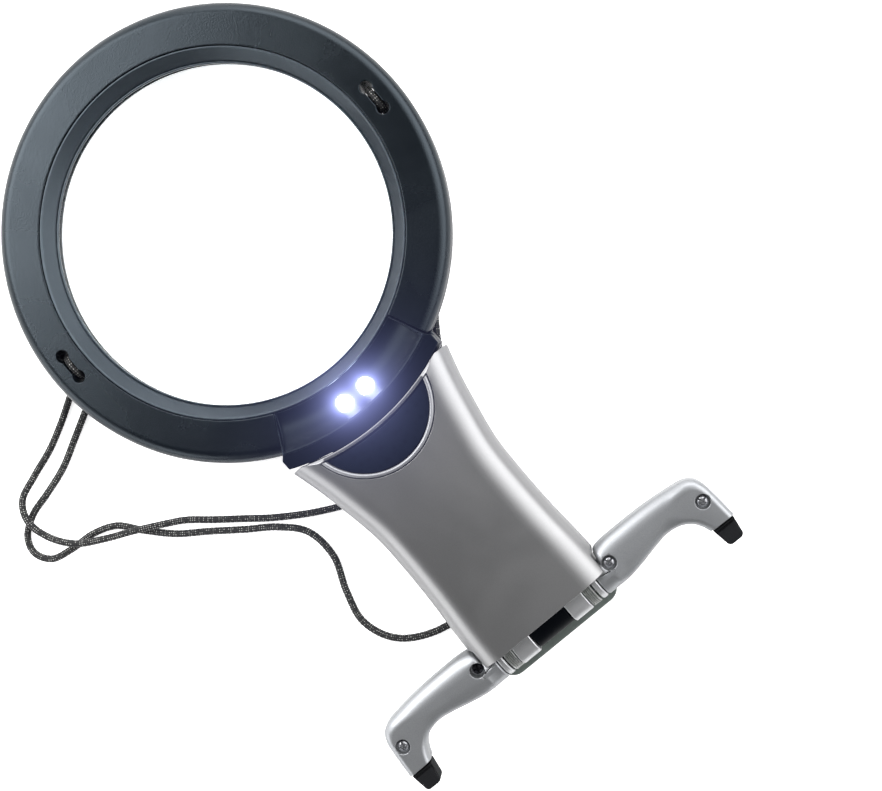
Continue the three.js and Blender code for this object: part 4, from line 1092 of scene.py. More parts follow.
@dataclass
class RingFrame(Assembly):
    """The ring's front and back frames, closed by four screws from behind."""

    bore_chamfer: float = 0.25
    seam_chamfer: float = 0.25
    front_round: float = 4.0
    back_round: float = 3.4
    inner_wall: float = PLAN.ring_outer - WALL
    collar_outer: float = PLAN.ring_bore - GAP
    collar_foot: float = 2.4
    collar_chamfer: float = 0.4
    seat_thickness: float = 2.1
    boss_wall: float = 1.4
    channel_width: float = 2.7
    channel_depth: float = 3.9
    well_top: float = PLAN.ring_back + PLAN.well_depth + WALL
    pilot_depth: float = 10.2
    neck_start: float = sqrt(PLAN.ring_outer**2 - PLAN.neck_half_width**2)
    neck_edge: float = 1.2
    seat_margin: float = 0.24
    tongue_half_width: float = 19.0
    tongue_thickness: float = 3.5
    tongue_end: float = 93.0
    screw_circle: float = (PLAN.ring_bore + PLAN.ring_outer) / 2
    screw_angles: tuple[float, ...] = (45.0, 135.0, 225.0, 315.0)
    screw_length: float = 6.6
    steps: int = 192

    def _screw_places(self) -> list[Point]:
        """Places of the four screws, as (across, down)."""
        angles = [radians(a) for a in self.screw_angles]
        return [(self.screw_circle * cos(a), self.screw_circle * sin(a)) for a in angles]

    def _pins(self, radius: float, low: float, high: float) -> list[Solid]:
        """A round pin at each screw."""
        return [pin(x, down, radius, low, high) for x, down in self._screw_places()]

    def _cord_holes(self, high: float) -> list[Solid]:
        """The two pairs of holes for the neck cord, up to a height."""
        places = [(side.value, end * PLAN.hole_spacing / 2) for side in Side for end in (-1, 1)]
        return [pin(way * PLAN.hole_circle, down, PLAN.hole_radius, 0, high) for way, down in places]

    def _cord_bosses(self) -> list[Solid]:
        """Walls inside the ring, round each pair of holes.

        Returns:
            One round-ended boss on each side.
        """
        reach, half, bosses = PLAN.hole_radius + self.boss_wall, PLAN.hole_spacing / 2, []
        for side in Side:
            x = side.value * PLAN.hole_circle
            outline = arc((x, half), reach, 0, 180, 24) + arc((x, -half), reach, 180, 360, 24)
            bosses.append(prism(outline, PLAN.inner_floor + GAP, PLAN.ring_face - WALL / 2))
        return bosses

    def _channels(self) -> list[Solid]:
        """The channels that the cord crosses between two holes.

        Returns:
            One channel on each side.
        """
        half, end = self.channel_width / 2, PLAN.hole_spacing / 2
        low, high = PLAN.ring_face - self.channel_depth, PLAN.ring_face + OVERRUN
        middles = [side.value * PLAN.hole_circle for side in Side]
        return [block((x - half, -end, low), (x + half, end, high)) for x in middles]

    def _hood_seat(self) -> list[Solid]:
        """Room for the hood and the neck in the ring's face and rim.

        Returns:
            What is taken out.
        """
        low, high = PLAN.hood_base - GAP, PLAN.ring_face + OVERRUN
        half, far = PLAN.neck_half_width + GAP, PLAN.ring_outer + OVERRUN
        reach = sector(PLAN.ring_bore - OVERRUN, far, PLAN.hood_half_angle + self.seat_margin)
        shoulder = Hood.ridge_radius * cos(radians(PLAN.hood_half_angle))
        return [
            prism(reach, low, high), slab(half, shoulder, far, low, high),
            slab(half, self.neck_start - GAP, far, 0, PLAN.hood_base),
        ]

    def front(self) -> None:
        """The front frame: a channel of plastic, open at the back, with a rounded outer edge."""
        low, face, bore = PLAN.ring_parting + GAP / 2, PLAN.ring_face, PLAN.ring_bore
        crown, chamfer, seam = self.front_round, self.bore_chamfer, self.seam_chamfer
        centre = PLAN.ring_outer - crown
        inner_round = crown - WALL / 2
        profile = [
            (PLAN.ring_outer - seam, low), (PLAN.ring_outer, low + seam),
            *arc((centre, face - crown), crown, 0, 90, 16), (centre - 0.3, face),
            (bore + chamfer + 0.3, face), *arc((bore + chamfer, face - chamfer), chamfer, 90, 180, 4),
            (bore, PLAN.inner_floor + GAP), (bore + WALL, PLAN.inner_floor + GAP), (bore + WALL, face - WALL),
            *arc((self.inner_wall - inner_round, low), face - WALL - low, 90, 20, 5), (self.inner_wall, low),
        ]
        posts = self._pins(PLAN.boss_radius - WALL / 2, self.well_top + GAP, face - WALL / 2)
        pilots = self._pins(Screw.shank_radius + GAP, PLAN.ring_back, PLAN.ring_back + self.pilot_depth)
        draft = turned(profile, self.steps).join(*posts, *self._cord_bosses())
        draft.cut(*pilots, *self._cord_holes(face + OVERRUN), *self._channels(), *self._hood_seat())
        self.finish(draft, "front_frame", Paint.SATIN, edge=0.25)

    def back(self) -> None:
        """The back frame, with the collar that the glass stands on and the neck for the handle."""
        top, back, floor = PLAN.ring_parting - GAP / 2, PLAN.ring_back, PLAN.inner_floor
        outer, inner, seam = PLAN.ring_outer, self.inner_wall, self.seam_chamfer
        inner_round = self.back_round - WALL / 2
        under = PLAN.lens_middle - PLAN.lens_edge / 2
        ledge = under - lens_rise(PLAN.lens_radius - PLAN.ledge) - GAP
        seat = PLAN.lens_radius + GAP
        rim = PLAN.lens_middle + PLAN.lens_edge / 2 + GAP
        collar, chamfer = self.collar_outer, self.collar_chamfer
        foot = collar - self.collar_foot
        profile = [
            (foot, chamfer), (foot + chamfer, 0), (collar - chamfer, 0), (collar, chamfer), (collar, back),
            *arc((outer - self.back_round, back + self.back_round), self.back_round, -90, 0, 12),
            (outer, top - seam), (outer - seam, top), (inner, top), (inner, floor + inner_round),
            (inner - inner_round, floor), (collar, floor), (collar, rim), (seat, rim), (seat, ledge),
            (seat - PLAN.ledge - GAP, ledge), (seat - PLAN.ledge - GAP, ledge - self.seat_thickness),
            (foot, back),
        ]
        posts = self._pins(PLAN.boss_radius, back + WALL / 2, self.well_top)
        wells = self._pins(Screw.head_radius + GAP, 0, back + PLAN.well_depth)
        shanks = self._pins(Screw.shank_radius + GAP, 0, self.well_top + OVERRUN)
        draft = turned(profile, self.steps).join(*posts, self._neck())
        draft.cut(*wells, *shanks, *self._cord_holes(floor + OVERRUN), *self._tongue_holes())
        self.finish(draft, "back_frame", Paint.SATIN, edge=0.2)

    def _neck(self) -> Solid:
        """The block between the ring and the handle, and the tongue that the shells close round.

        Returns:
            The draft.
        """
        outer, half, start = PLAN.handle_top - GAP, PLAN.neck_half_width, self.neck_start
        reach = degrees(asin(half / outer))
        outline = [*arc((0, 0), outer, 90 - reach, 90 + reach, 40), (-half, start), (half, start)]
        yoke = prism(outline, PLAN.ring_back, PLAN.hood_base - GAP, 0.4, self.neck_edge, 4)
        low = PLAN.inner_floor + GAP
        tongue = slab(self.tongue_half_width, start, self.tongue_end, low, low + self.tongue_thickness)
        ring_space = pin(0, 0, PLAN.ring_outer - WALL / 2, 0, PLAN.ring_face, self.steps)
        return yoke.join(tongue).cut(ring_space)

    def _tongue_holes(self) -> list[Solid]:
        """Holes of the two screws that hold the handle to the tongue.

        Returns:
            Two pins for each screw, one for its shank and one for the handle's pad.
        """
        x, down = PLAN.tongue_screw
        pads = PLAN.handle_back + PLAN.well_depth + WALL + GAP
        sizes = ((Screw.shank_radius + GAP, PLAN.ring_face), (PLAN.boss_radius + GAP, pads))
        return [pin(side.value * x, down, radius, 0, high) for side in Side for radius, high in sizes]

    def screws(self) -> None:
        """The four screws in the back."""
        seat = PLAN.ring_back + PLAN.well_depth - GAP
        for number, place in enumerate(self._screw_places(), start=1):
            screw = Screw(self.screw_length).from_back(*place, seat)
            self.finish(screw, f"frame_screw_{number}", Paint.SCREW, edge=0.05)

    def build(self) -> None:
        """Builds the frames and their screws."""
        self.front()
        self.back()
        self.screws()


@dataclass
class Hood(Assembly):
    """The dished hood with its two lamps."""

    outer: float = PLAN.handle_top - GAP
    ridge_radius: float = 72.3
    ridge_height: float = 24.7
    rim: float = 0.45
    band: float = 0.8
    scoop_depth: float = 0.9
    sweep_power: float = 2.3
    floor: float = 1.5
    board_half_width: float = 10.0
    board_reach: Point = (64.1, 71.2)
    lamp_radius: float = 2.5
    lamp_length: float = 7.0
    lamp_spacing: float = 8.6
    lamp_tilt: float = 38.0
    lamp_tip: Point = (64.6, 22.4)
    flange: float = 0.5
    flange_height: float = 1.0
    steps: int = 120

    def _outline(self) -> list[Point]:
        """The hood's plan.

        Returns:
            Points along the bore, the ridge's ends, the neck's sides and the handle's edge.
        """
        angle, half = PLAN.hood_half_angle, PLAN.neck_half_width
        edge = self.ridge_radius * sin(radians(angle))
        shoulder = self.ridge_radius * cos(radians(angle))
        flare = shoulder + (sqrt(self.outer**2 - half**2) - shoulder) / 3
        reach = degrees(asin(half / self.outer))
        return [
            *arc((0, 0), PLAN.ring_bore, 90 + angle, 90 - angle, self.steps), (edge, shoulder), (half, flare),
            *arc((0, 0), self.outer, 90 - reach, 90 + reach, self.steps), (-half, flare), (-edge, shoulder),
        ]

    def _blank(self) -> Solid:
        """The hood before it is dished, climbing from the bore to the ridge.

        Returns:
            The draft.
        """
        bore, base, face, far = PLAN.ring_bore, PLAN.hood_base, PLAN.ring_face, self.outer + OVERRUN
        ridge, height = self.ridge_radius, self.ridge_height
        edge = height - self.band
        profile = [
            (bore - OVERRUN, base), (far, base), (far, edge - 0.3), (self.outer, edge),
            (ridge + self.rim, height - GAP), (ridge + 0.3, height - 0.06), (ridge, height),
            (bore + 0.4, face), (bore - OVERRUN, face - 0.2),
        ]
        return turned(profile, self.steps, 64).keep(prism(self._outline(), base, height + OVERRUN))

    def _scoop(self) -> Solid:
        """What is taken out: a dish that sinks below the ring's face and sweeps up to the ridge.

        Returns:
            The draft.
        """
        start, face = PLAN.ring_bore - OVERRUN, PLAN.ring_face
        far = self.ridge_radius - self.rim
        low = start + (far - start) / 4
        floor = face - self.scoop_depth
        sweep = [
            (low + (far - low) * share, floor + (self.ridge_height - floor) * share**self.sweep_power)
            for share in (i / 24 for i in range(25))
        ]
        lead_in = [
            (start + (low - start) * share, face - GAP + (floor - face + GAP) * sin(share * pi / 2))
            for share in (i / 12 for i in range(12))
        ]
        top = self.ridge_height + OVERRUN
        half_angle = PLAN.hood_half_angle - degrees(self.rim / self.ridge_radius)
        room = sector(start - OVERRUN, self.ridge_radius + OVERRUN, half_angle, self.steps)
        dish = turned([*lead_in, *sweep, (far, top), (start, top)], self.steps, 60)
        return dish.keep(prism(room, 0, top + OVERRUN))

    def _lamp_place(self, side: Side) -> Matrix:
        """Places a lamp drafted with its tip at the origin."""
        spot = Matrix.Translation((side.value * self.lamp_spacing / 2, -self.lamp_tip[0], self.lamp_tip[1]))
        return spot @ Matrix.Rotation(-radians(self.lamp_tilt), 4, "X")

    def hood(self) -> None:
        """The glossy hood, bored for the lamps."""
        radius, (near, far) = self.lamp_radius + GAP, self.board_reach
        ceiling = PLAN.ring_face - self.scoop_depth - self.floor
        seat = self.flange_height + GAP - self.lamp_length
        bores = [slab(self.board_half_width + GAP, near - GAP, far + GAP, 0, ceiling)]
        for side in Side:
            place = self._lamp_place(side)
            bores.append(pin(0, 0, radius, -self.lamp_length, self.lamp_length).placed(place))
            bores.append(pin(0, 0, radius + self.flange, seat - self.lamp_length, seat).placed(place))
        draft = self._blank().cut(self._scoop(), *bores)
        self.finish(draft, "led_hood", Paint.HOOD, edge=0.3, angle=30)

    def lamps(self) -> None:
        """The two lit lamps: a flange, a round body and a dome."""
        radius, bottom = self.lamp_radius, -self.lamp_length
        wide, ledge = radius + self.flange, bottom + self.flange_height
        dome = arc((0, -radius), radius, 0, 90, 12)[:-1]
        for side in Side:
            draft = turned([(0, bottom), (wide, bottom), (wide, ledge), (radius, ledge), *dome, (0, 0)], 48)
            self.finish(draft.placed(self._lamp_place(side)), f"led_{side.word}", Paint.LAMP, edge=0.08)

    def build(self) -> None:
        """Builds the hood and its lamps, and dresses their board."""
        self.hood()
        self.lamps()
        self.dress(Paint.BOARD, "led_board")


@dataclass
class Handle(Assembly):
    """The two shells of the handle and the screws that hold them to the ring's tongue."""

    start: float = PLAN.handle_top - 5.0
    half_depth: float = (PLAN.handle_face - PLAN.handle_back) / 2
    shoulder: float = 31.7
    waist: float = 24.2
    foot: float = 25.6
    front_reach: float = 10.2
    back_reach: float = 5.7
    front_round: float = 7.3
    back_round: float = 6.0
    end_wall: float = 6.9
    top_slope: Point = (1.1, 0.75)
    ear_radius: float = 10.2
    ear_start: float = 23.95
    screw_length: float = 4.0
    upper_flank: tuple[Point, ...] = ((0, 1), (0.11, 0.65), (0.22, 0.38), (0.38, 0.06))
    lower_flank: tuple[Point, ...] = ((0.54, 0), (0.7, 0.03), (0.86, 0.12), (1, 0.16))
    sections: int = 44
    corner_steps: int = 10

    def _knots(self) -> list[Vector]:
        """Places of (down, half width) that the flank runs past.

        Returns:
            The places from the shoulder down to the foot.
        """
        widths = [(share, (self.shoulder - self.waist) * flare) for share, flare in self.upper_flank]
        last = self.lower_flank[-1][1]
        widths += [(share, (self.foot - self.waist) * flare / last) for share, flare in self.lower_flank]
        length = PLAN.handle_end - self.start
        return [Vector((self.start + share * length, self.waist + spread)) for share, spread in widths]

    def flank(self, share: float) -> Vector:
        """A place on the flank, on a uniform spline through the knots.

        Args:
            share: Share of the handle's length.

        Returns:
            The place as (down, half width).
        """
        knots = self._knots()
        last = len(knots) - 1
        i = min(int(share * last), last - 1)
        t = share * last - i
        before, here, there, beyond = (knots[min(max(k, 0), last)] for k in (i - 1, i, i + 1, i + 2))
        pull, push = (there - before) / 2, (beyond - here) / 2
        cubic = (2 * here - 2 * there + pull + push) * t**3 + (-3 * here + 3 * there - 2 * pull - push) * t**2
        return cubic + pull * t + here

    def _body(self, inset: float, up: int, reach: float, corner: float, span: Point, base: float) -> Solid:
        """A solid half of the handle, or with an inset the room inside it.

        Args:
            inset: Distance inside the outer face.
            up: 1 for the front half and -1 for the back half.
            reach: Width of the rounded flank.
            corner: Depth of the rounded flank.
            span: Where the half starts and ends down the handle.
            base: Height of its open side off the parting line.

        Returns:
            The draft.
        """
        reach, corner, height = reach - inset / 2, corner - inset / 2, self.half_depth - inset
        loops = []
        for i in range(self.sections + 1):
            point = self.flank(i / self.sections)
            down = span[0] + (span[1] - span[0]) * (point.x - self.start) / (PLAN.handle_end - self.start)
            half = point.y - inset
            right = [
                (half - reach + reach * cos(a), height - corner + corner * sin(a))
                for a in (radians(90 * k / self.corner_steps) for k in range(self.corner_steps + 1))
            ]
            outline = [(half, base), *right, *[(-x, z) for x, z in reversed(right)], (-half, base)]
            loops.append([Vector((x, -down, PLAN.axis_height + up * z)) for x, z in outline])
        return lofted(loops)

    def _shell(self, up: int, reach: float, corner: float) -> Solid:
        """One half of the handle, with its walls.

        Args:
            up: 1 for the front half and -1 for the back half.
            reach: Width of the rounded flank.
            corner: Depth of the rounded flank.

        Returns:
            The draft.
        """
        start, end = self.start - OVERRUN, PLAN.handle_end - self.end_wall
        outer = self._body(0, up, reach, corner, (self.start, PLAN.handle_end), GAP / 2)
        inner = self._body(WALL, up, reach, corner, (start, end), -OVERRUN)
        low, high = (PLAN.axis_height + way * (PLAN.lug_half_height + GAP) for way in (-1, 1))
        near, far = PLAN.barrel_reach - PLAN.lug_root - GAP, self.foot + OVERRUN
        ears = ((-far, -self.ear_start), (self.ear_start, far))
        return outer.cut(
            inner,
            pin(0, 0, PLAN.handle_top, 0, PLAN.handle_face + OVERRUN, 240),
            bar(-far, far, PLAN.barrel_radius + 1.5 * GAP),
            slab(PLAN.lug_outer + GAP, near, PLAN.barrel_reach + OVERRUN, low, high),
            *[bar(*span, self.ear_radius) for span in ears],
        )

    def front(self, opening: Solid) -> None:
        """The front shell, with its edge beside the hood sloped off.

        Args:
            opening: The room for the button.
        """
        width, drop = self.top_slope
        edge, face, slope = PLAN.handle_top, PLAN.handle_face, drop / width
        low = (edge - OVERRUN, face - drop - slope * OVERRUN)
        high = (edge + width + OVERRUN, face + slope * OVERRUN)
        wedge = turned([low, high, (low[0], high[1])], 240, 64)
        draft = self._shell(1, self.front_reach, self.front_round).cut(opening, wedge)
        self.finish(draft, "handle_front_shell", Paint.SILVER, edge=0.2, angle=35)

    def back(self) -> None:
        """The back shell, open for the battery door, and its two screws."""
        x, down = PLAN.tongue_screw
        floor, middle = PLAN.handle_back + PLAN.well_depth, PLAN.handle_back + WALL / 2
        width, thickness = PLAN.door_rail
        half, rail = PLAN.door_half_width + GAP, thickness / 2 + GAP
        start, end = PLAN.door_start - GAP, PLAN.handle_end + OVERRUN
        pads = [pin(s.value * x, down, PLAN.boss_radius, middle, floor + WALL) for s in Side]
        draft = self._shell(-1, self.back_reach, self.back_round).join(*pads)
        draft.cut(
            slab(half, start, end, 0, PLAN.inner_floor + GAP / 2),
            slab(half + width, start, end, middle - rail, middle + rail),
            *[pin(s.value * x, down, Screw.head_radius + GAP, 0, floor) for s in Side],
            *[pin(s.value * x, down, Screw.shank_radius + GAP, 0, PLAN.axis_height) for s in Side],
        )
        self.finish(draft, "handle_back_shell", Paint.SILVER, edge=0.25, angle=35)
        for side in Side:
            screw = Screw(self.screw_length).from_back(side.value * x, down, floor - GAP)
            self.finish(screw, f"shell_screw_{side.word}", Paint.SCREW, edge=0.05)

    def build(self, opening: Solid) -> None:
        """Builds the shells and their screws.

        Args:
            opening: The room for the button.
        """
        self.front(opening)
        self.back()


@dataclass
class LightButton(Assembly):
    """The half-moon button and the bright bead round its lower edge."""

    centre: float = 71.4
    radius: float = 20.4
    bead_width: float = 1.35
    bead_rise: float = 0.65
    outer: float = radius + GAP + bead_width
    lip: float = 1.3
    lip_thickness: float = 1.2
    lip_bottom: float = PLAN.handle_face - WALL - GAP - lip_thickness
    rim: float = 1.2
    top: float = PLAN.handle_top + rim
    rise: float = 0.3
    depth: float = 5.2
    edge: float = 0.7
    flange: float = 1.3
    stem: Point = (86.0, 2.5)
    stem_low: float = 21.45
    crown: float = 190.0
    crown_angle: float = 18.0
    crown_steps: int = 12
    crown_room: Point = (60.0, -40.0)
    steps: int = 240

    def _half_moon(self, radius: float, top: float) -> list[Point]:
        """Outline between a circle about the button's centre and one about the lens.

        Args:
            radius: Radius about the button's centre.
            top: Radius about the lens.

        Returns:
            The outline.
        """
        meeting = (top**2 - radius**2 + self.centre**2) / (2 * self.centre)
        half = sqrt(top**2 - meeting**2)
        low, high = degrees(atan2(meeting - self.centre, half)), degrees(atan2(meeting, half))
        foot = arc((0, self.centre), radius, low, 180 - low, 72)
        return foot + arc((0, 0), top, 180 - high, high, 48)[1:-1]

    def opening(self) -> Solid:
        """Room for the bead and the button in the front shell."""
        outline = self._half_moon(self.outer + GAP, self.top)
        return prism(outline, PLAN.axis_height, PLAN.handle_face + OVERRUN)

    def bead(self) -> None:
        """The bright bead, round on top, with a flat lip under the shell."""
        inner, half, low = self.radius + GAP, self.bead_width / 2, self.lip_bottom
        crest = PLAN.handle_face + self.bead_rise
        edge, high = self.top + GAP, crest + OVERRUN
        profile = [(inner, low), (self.outer, low), *arc((inner + half, crest - half), half, 0, 180, 12)]
        spun = turned(profile, self.steps).placed(Matrix.Translation((0, -self.centre, 0)))
        moon = prism(self._half_moon(self.outer + OVERRUN, edge), 0, high)
        lip = prism(self._half_moon(self.outer + self.lip, edge), low, low + self.lip_thickness)
        lip.cut(pin(0, self.centre, inner + 0.1, 0, high, self.steps))
        self.finish(spun.keep(moon).join(lip), "button_bezel", Paint.BEAD, edge=0.1, angle=40)

    def button(self) -> None:
        """The slightly crowned button, hollow below, with a stem down to the switch."""
        top = PLAN.handle_face + self.rise
        low, edge, (wide, deep) = top - self.depth, self.top + 2 * GAP, self.crown_room
        cap = prism(self._half_moon(self.radius, edge), low, top, self.edge, 0, 5)
        turn = self.crown_angle / self.crown_steps
        slopes = [radians(self.crown_angle - turn * i) for i in range(self.crown_steps + 1)]
        dome = [(self.crown * sin(a), self.crown * cos(a)) for a in slopes]
        middle = Matrix.Translation((0, -(self.centre + self.radius * 0.75), top - self.crown))
        cap.keep(turned([(0, deep), (wide, deep), *dome], 96).placed(middle))
        flange = prism(self._half_moon(self.radius + self.flange, edge), low, self.lip_bottom - GAP)
        pocket = prism(self._half_moon(self.radius - WALL, edge + WALL), low - OVERRUN, top - WALL)
        stem = pin(0, *self.stem, self.stem_low, top - WALL / 2)
        draft = cap.join(flange).cut(pocket).join(stem)
        self.finish(draft, "light_button", Paint.GLOSS, Body.BUTTON, edge=0.1, angle=40)

    def build(self) -> None:
        """Builds the button and its bead, and dresses the switch."""
        self.bead()
        self.button()
        self.dress(Paint.BOARD, "switch_board")
        self.dress(Paint.INNER, "switch_body")


@dataclass
class PowerPack(Assembly):
    """The battery door with its foot, and the cells and contacts inside."""

    foot_start: float = 158.9
    foot_length: float = 10.4
    foot_half: float = 23.5
    foot_top: float = 7.9
    foot_edge: float = 0.9
    foot_draft: float = 1.4
    foot_corner: float = 5.0
    tongue: Point = (14.0, 6.0)
    groove_count: int = 5
    groove_pitch: float = 2.4
    groove_depth: float = 0.5
    groove_half: float = 8.0
    tread_count: int = 7
    tread_pitch: float = 5.4
    tread_depth: float = 0.5
    tread_half: float = 0.5
    tread_inset: float = 2.0

    def door(self) -> None:
        """The sliding door, with finger grooves and rails."""
        back, top = PLAN.handle_back, PLAN.inner_floor - GAP / 2
        half, begin = PLAN.door_half_width, PLAN.door_start
        middle = back + WALL / 2
        width, thickness = PLAN.door_rail
        low, high = middle - thickness / 2, middle + thickness / 2
        half_tongue, reach = self.tongue
        plate = slab(half, begin, self.foot_start - GAP, back, top)
        rails = slab(half + width, begin, PLAN.handle_end - GAP, low, high)
        tongue = slab(half_tongue, self.foot_start - OVERRUN, self.foot_start + reach, back, top)
        grooves = []
        for i in range(self.groove_count):
            start = PLAN.handle_end - reach - (i + 1) * self.groove_pitch
            end = start + self.groove_pitch / 2
            centre, radius = (start + end) / 2, (end - start) / 2
            outline = arc((self.groove_half, centre), radius, -90, 90, 8)
            outline += arc((-self.groove_half, centre), radius, 90, 270, 8)
            grooves.append(prism(outline, 0, back + self.groove_depth))
        draft = plate.join(rails, tongue).cut(*grooves)
        self.finish(draft, "battery_door", Paint.SILVER, Body.DOOR, edge=0.15)

    def foot(self) -> None:
        """The soft foot that takes the table, with a ribbed tread."""
        start, half, corner = self.foot_start, self.foot_half, self.foot_corner
        end = start + self.foot_length
        outline = [
            (-half, start), (half, start),
            *[(half - corner + x, end - corner + y) for x, y in arc((0, 0), corner, 0, 90, 10)],
            *[(-half + corner + x, end - corner + y) for x, y in arc((0, 0), corner, 90, 180, 10)],
        ]
        sole = prism(outline, 0, self.foot_top, self.foot_edge, self.foot_draft, 5)
        width, reach = self.tongue
        low, high = PLAN.handle_back - GAP, PLAN.inner_floor + OVERRUN
        slot = slab(width + GAP, start - OVERRUN, start + reach + GAP, low, high)
        near, far, wide = start + self.tread_inset, end - self.tread_inset, self.tread_half
        middles = [(i - (self.tread_count - 1) / 2) * self.tread_pitch for i in range(self.tread_count)]
        treads = [block((x - wide, near, -OVERRUN), (x + wide, far, self.tread_depth)) for x in middles]
        self.finish(sole.cut(slot, *treads), "rest_foot", Paint.FOOT, Body.DOOR, edge=0.2)

    def build(self) -> None:
        """Builds the door and foot, and dresses what lies inside."""
        self.door()
        self.foot()
        self.dress(Paint.INNER, "battery_tray")
        for place in ("left", "middle", "right"):
            self.dress(Paint.JACKET, f"battery_cell_{place}")
            self.dress(Paint.SCREW, f"contact_spring_{place}")
        self.dress(Paint.BRIGHT, "contact_strip_top", "contact_strip_bottom")


@dataclass
class BarrelHinge(Assembly):
    """The friction hinge across the handle's end."""

    sleeve_half: float = 6.9
    sleeve_radius: float = 4.9
    sleeve_bore: float = 3.7
    sleeve_chamfer: float = 0.4
    lug_round: float = 3.4
    bar_thickness: float = 1.1
    axle_bore: float = PLAN.axle_radius + GAP
    collar_start: float = PLAN.lug_outer + GAP
    collar_width: float = 3.0
    collar_chamfer: float = 0.2
    seam: float = 0.6
    ring_start: float = collar_start + collar_width + seam
    ring_width: float = 2.0
    ring_chamfer: float = 0.35
    rib_count: int = 4
    rib_depth: float = 0.3
    rib_margin: float = 0.3
    steps: int = 96

    def housing(self) -> None:
        """Two rounded lugs on a tie bar."""
        half, root, outer = PLAN.lug_half_height, PLAN.lug_root, PLAN.lug_outer
        reach, height = PLAN.barrel_reach, PLAN.axis_height
        radius, start = self.lug_round, self.sleeve_half + GAP
        middle = half - radius
        nose = arc((middle, -middle), radius, -90, 0, 8) + arc((middle, middle), radius, 0, 90, 8)
        outline = [(-half, -root), *[(up, down) for down, up in nose], (half, -root)]
        stand = Matrix(((0, 0, 1, 0), (0, 1, 0, -reach), (1, 0, 0, height), (0, 0, 0, 1)))
        lugs = [prism(outline, *span).placed(stand) for span in ((start, outer), (-outer, -start))]
        near = reach - root
        tie = slab(start + GAP, near, near + self.bar_thickness, height - half, height + half)
        draft = lugs[0].join(lugs[1], tie).cut(bar(-2 * outer, 2 * outer, self.axle_bore))
        self.finish(draft, "hinge_housing", Paint.BRIGHT, edge=0.4)

    def sleeve(self) -> None:
        """The black sleeve between the lugs."""
        half, radius = self.sleeve_half, self.sleeve_radius
        bore, chamfer = self.sleeve_bore, self.sleeve_chamfer
        profile = [
            (bore, -half), (radius - chamfer, -half), (radius, -half + chamfer),
            (radius, half - chamfer), (radius - chamfer, half), (bore, half),
        ]
        self.finish(barrel(profile), "hinge_sleeve", Paint.SLEEVE, edge=0.08)

    def collar(self, side: Side) -> None:
        """A dark collar with fine ribs round it.

        Args:
            side: Its side.
        """
        radius, bore, chamfer = PLAN.barrel_radius, self.axle_bore, self.collar_chamfer
        start, end = self.collar_start, self.collar_start + self.collar_width
        pitch = (self.collar_width - 2 * self.rib_margin) / self.rib_count
        profile = [(bore, start), (radius - chamfer, start), (radius, start + chamfer)]
        for i in range(self.rib_count):
            x = start + self.rib_margin + i * pitch
            profile += [(radius, x), (radius - self.rib_depth, x + pitch * 0.3), (radius, x + pitch * 0.6)]
        profile += [(radius, end - chamfer), (radius - chamfer, end), (bore, end)]
        draft = barrel(profile, self.steps).on_side(side)
        self.finish(draft, f"friction_collar_{side.word}", Paint.DARK, edge=0.0)

    def ring(self, side: Side, body: Body) -> None:
        """The bright ring that turns with the leg.

        Args:
            side: Its side.
            body: The leg's body.
        """
        radius, bore, chamfer = PLAN.barrel_radius, self.axle_bore, self.ring_chamfer
        start, end = self.ring_start, self.ring_start + self.ring_width
        profile = [
            (bore, start), (radius - chamfer, start), (radius, start + chamfer),
            (radius, end - chamfer), (radius - chamfer, end), (bore, end),
        ]
        draft = barrel(profile, self.steps).on_side(side)
        self.finish(draft, f"friction_ring_{side.word}", Paint.BRIGHT, body, edge=0.1)

    def build(self) -> None:
        """Builds the hinge from its middle outwards."""
        self.housing()
        self.sleeve()
        for side, body in LEG_BODIES.items():
            self.collar(side)
            self.ring(side, body)
        self.dress(Paint.SCREW, "hinge_spring", "hinge_axle")


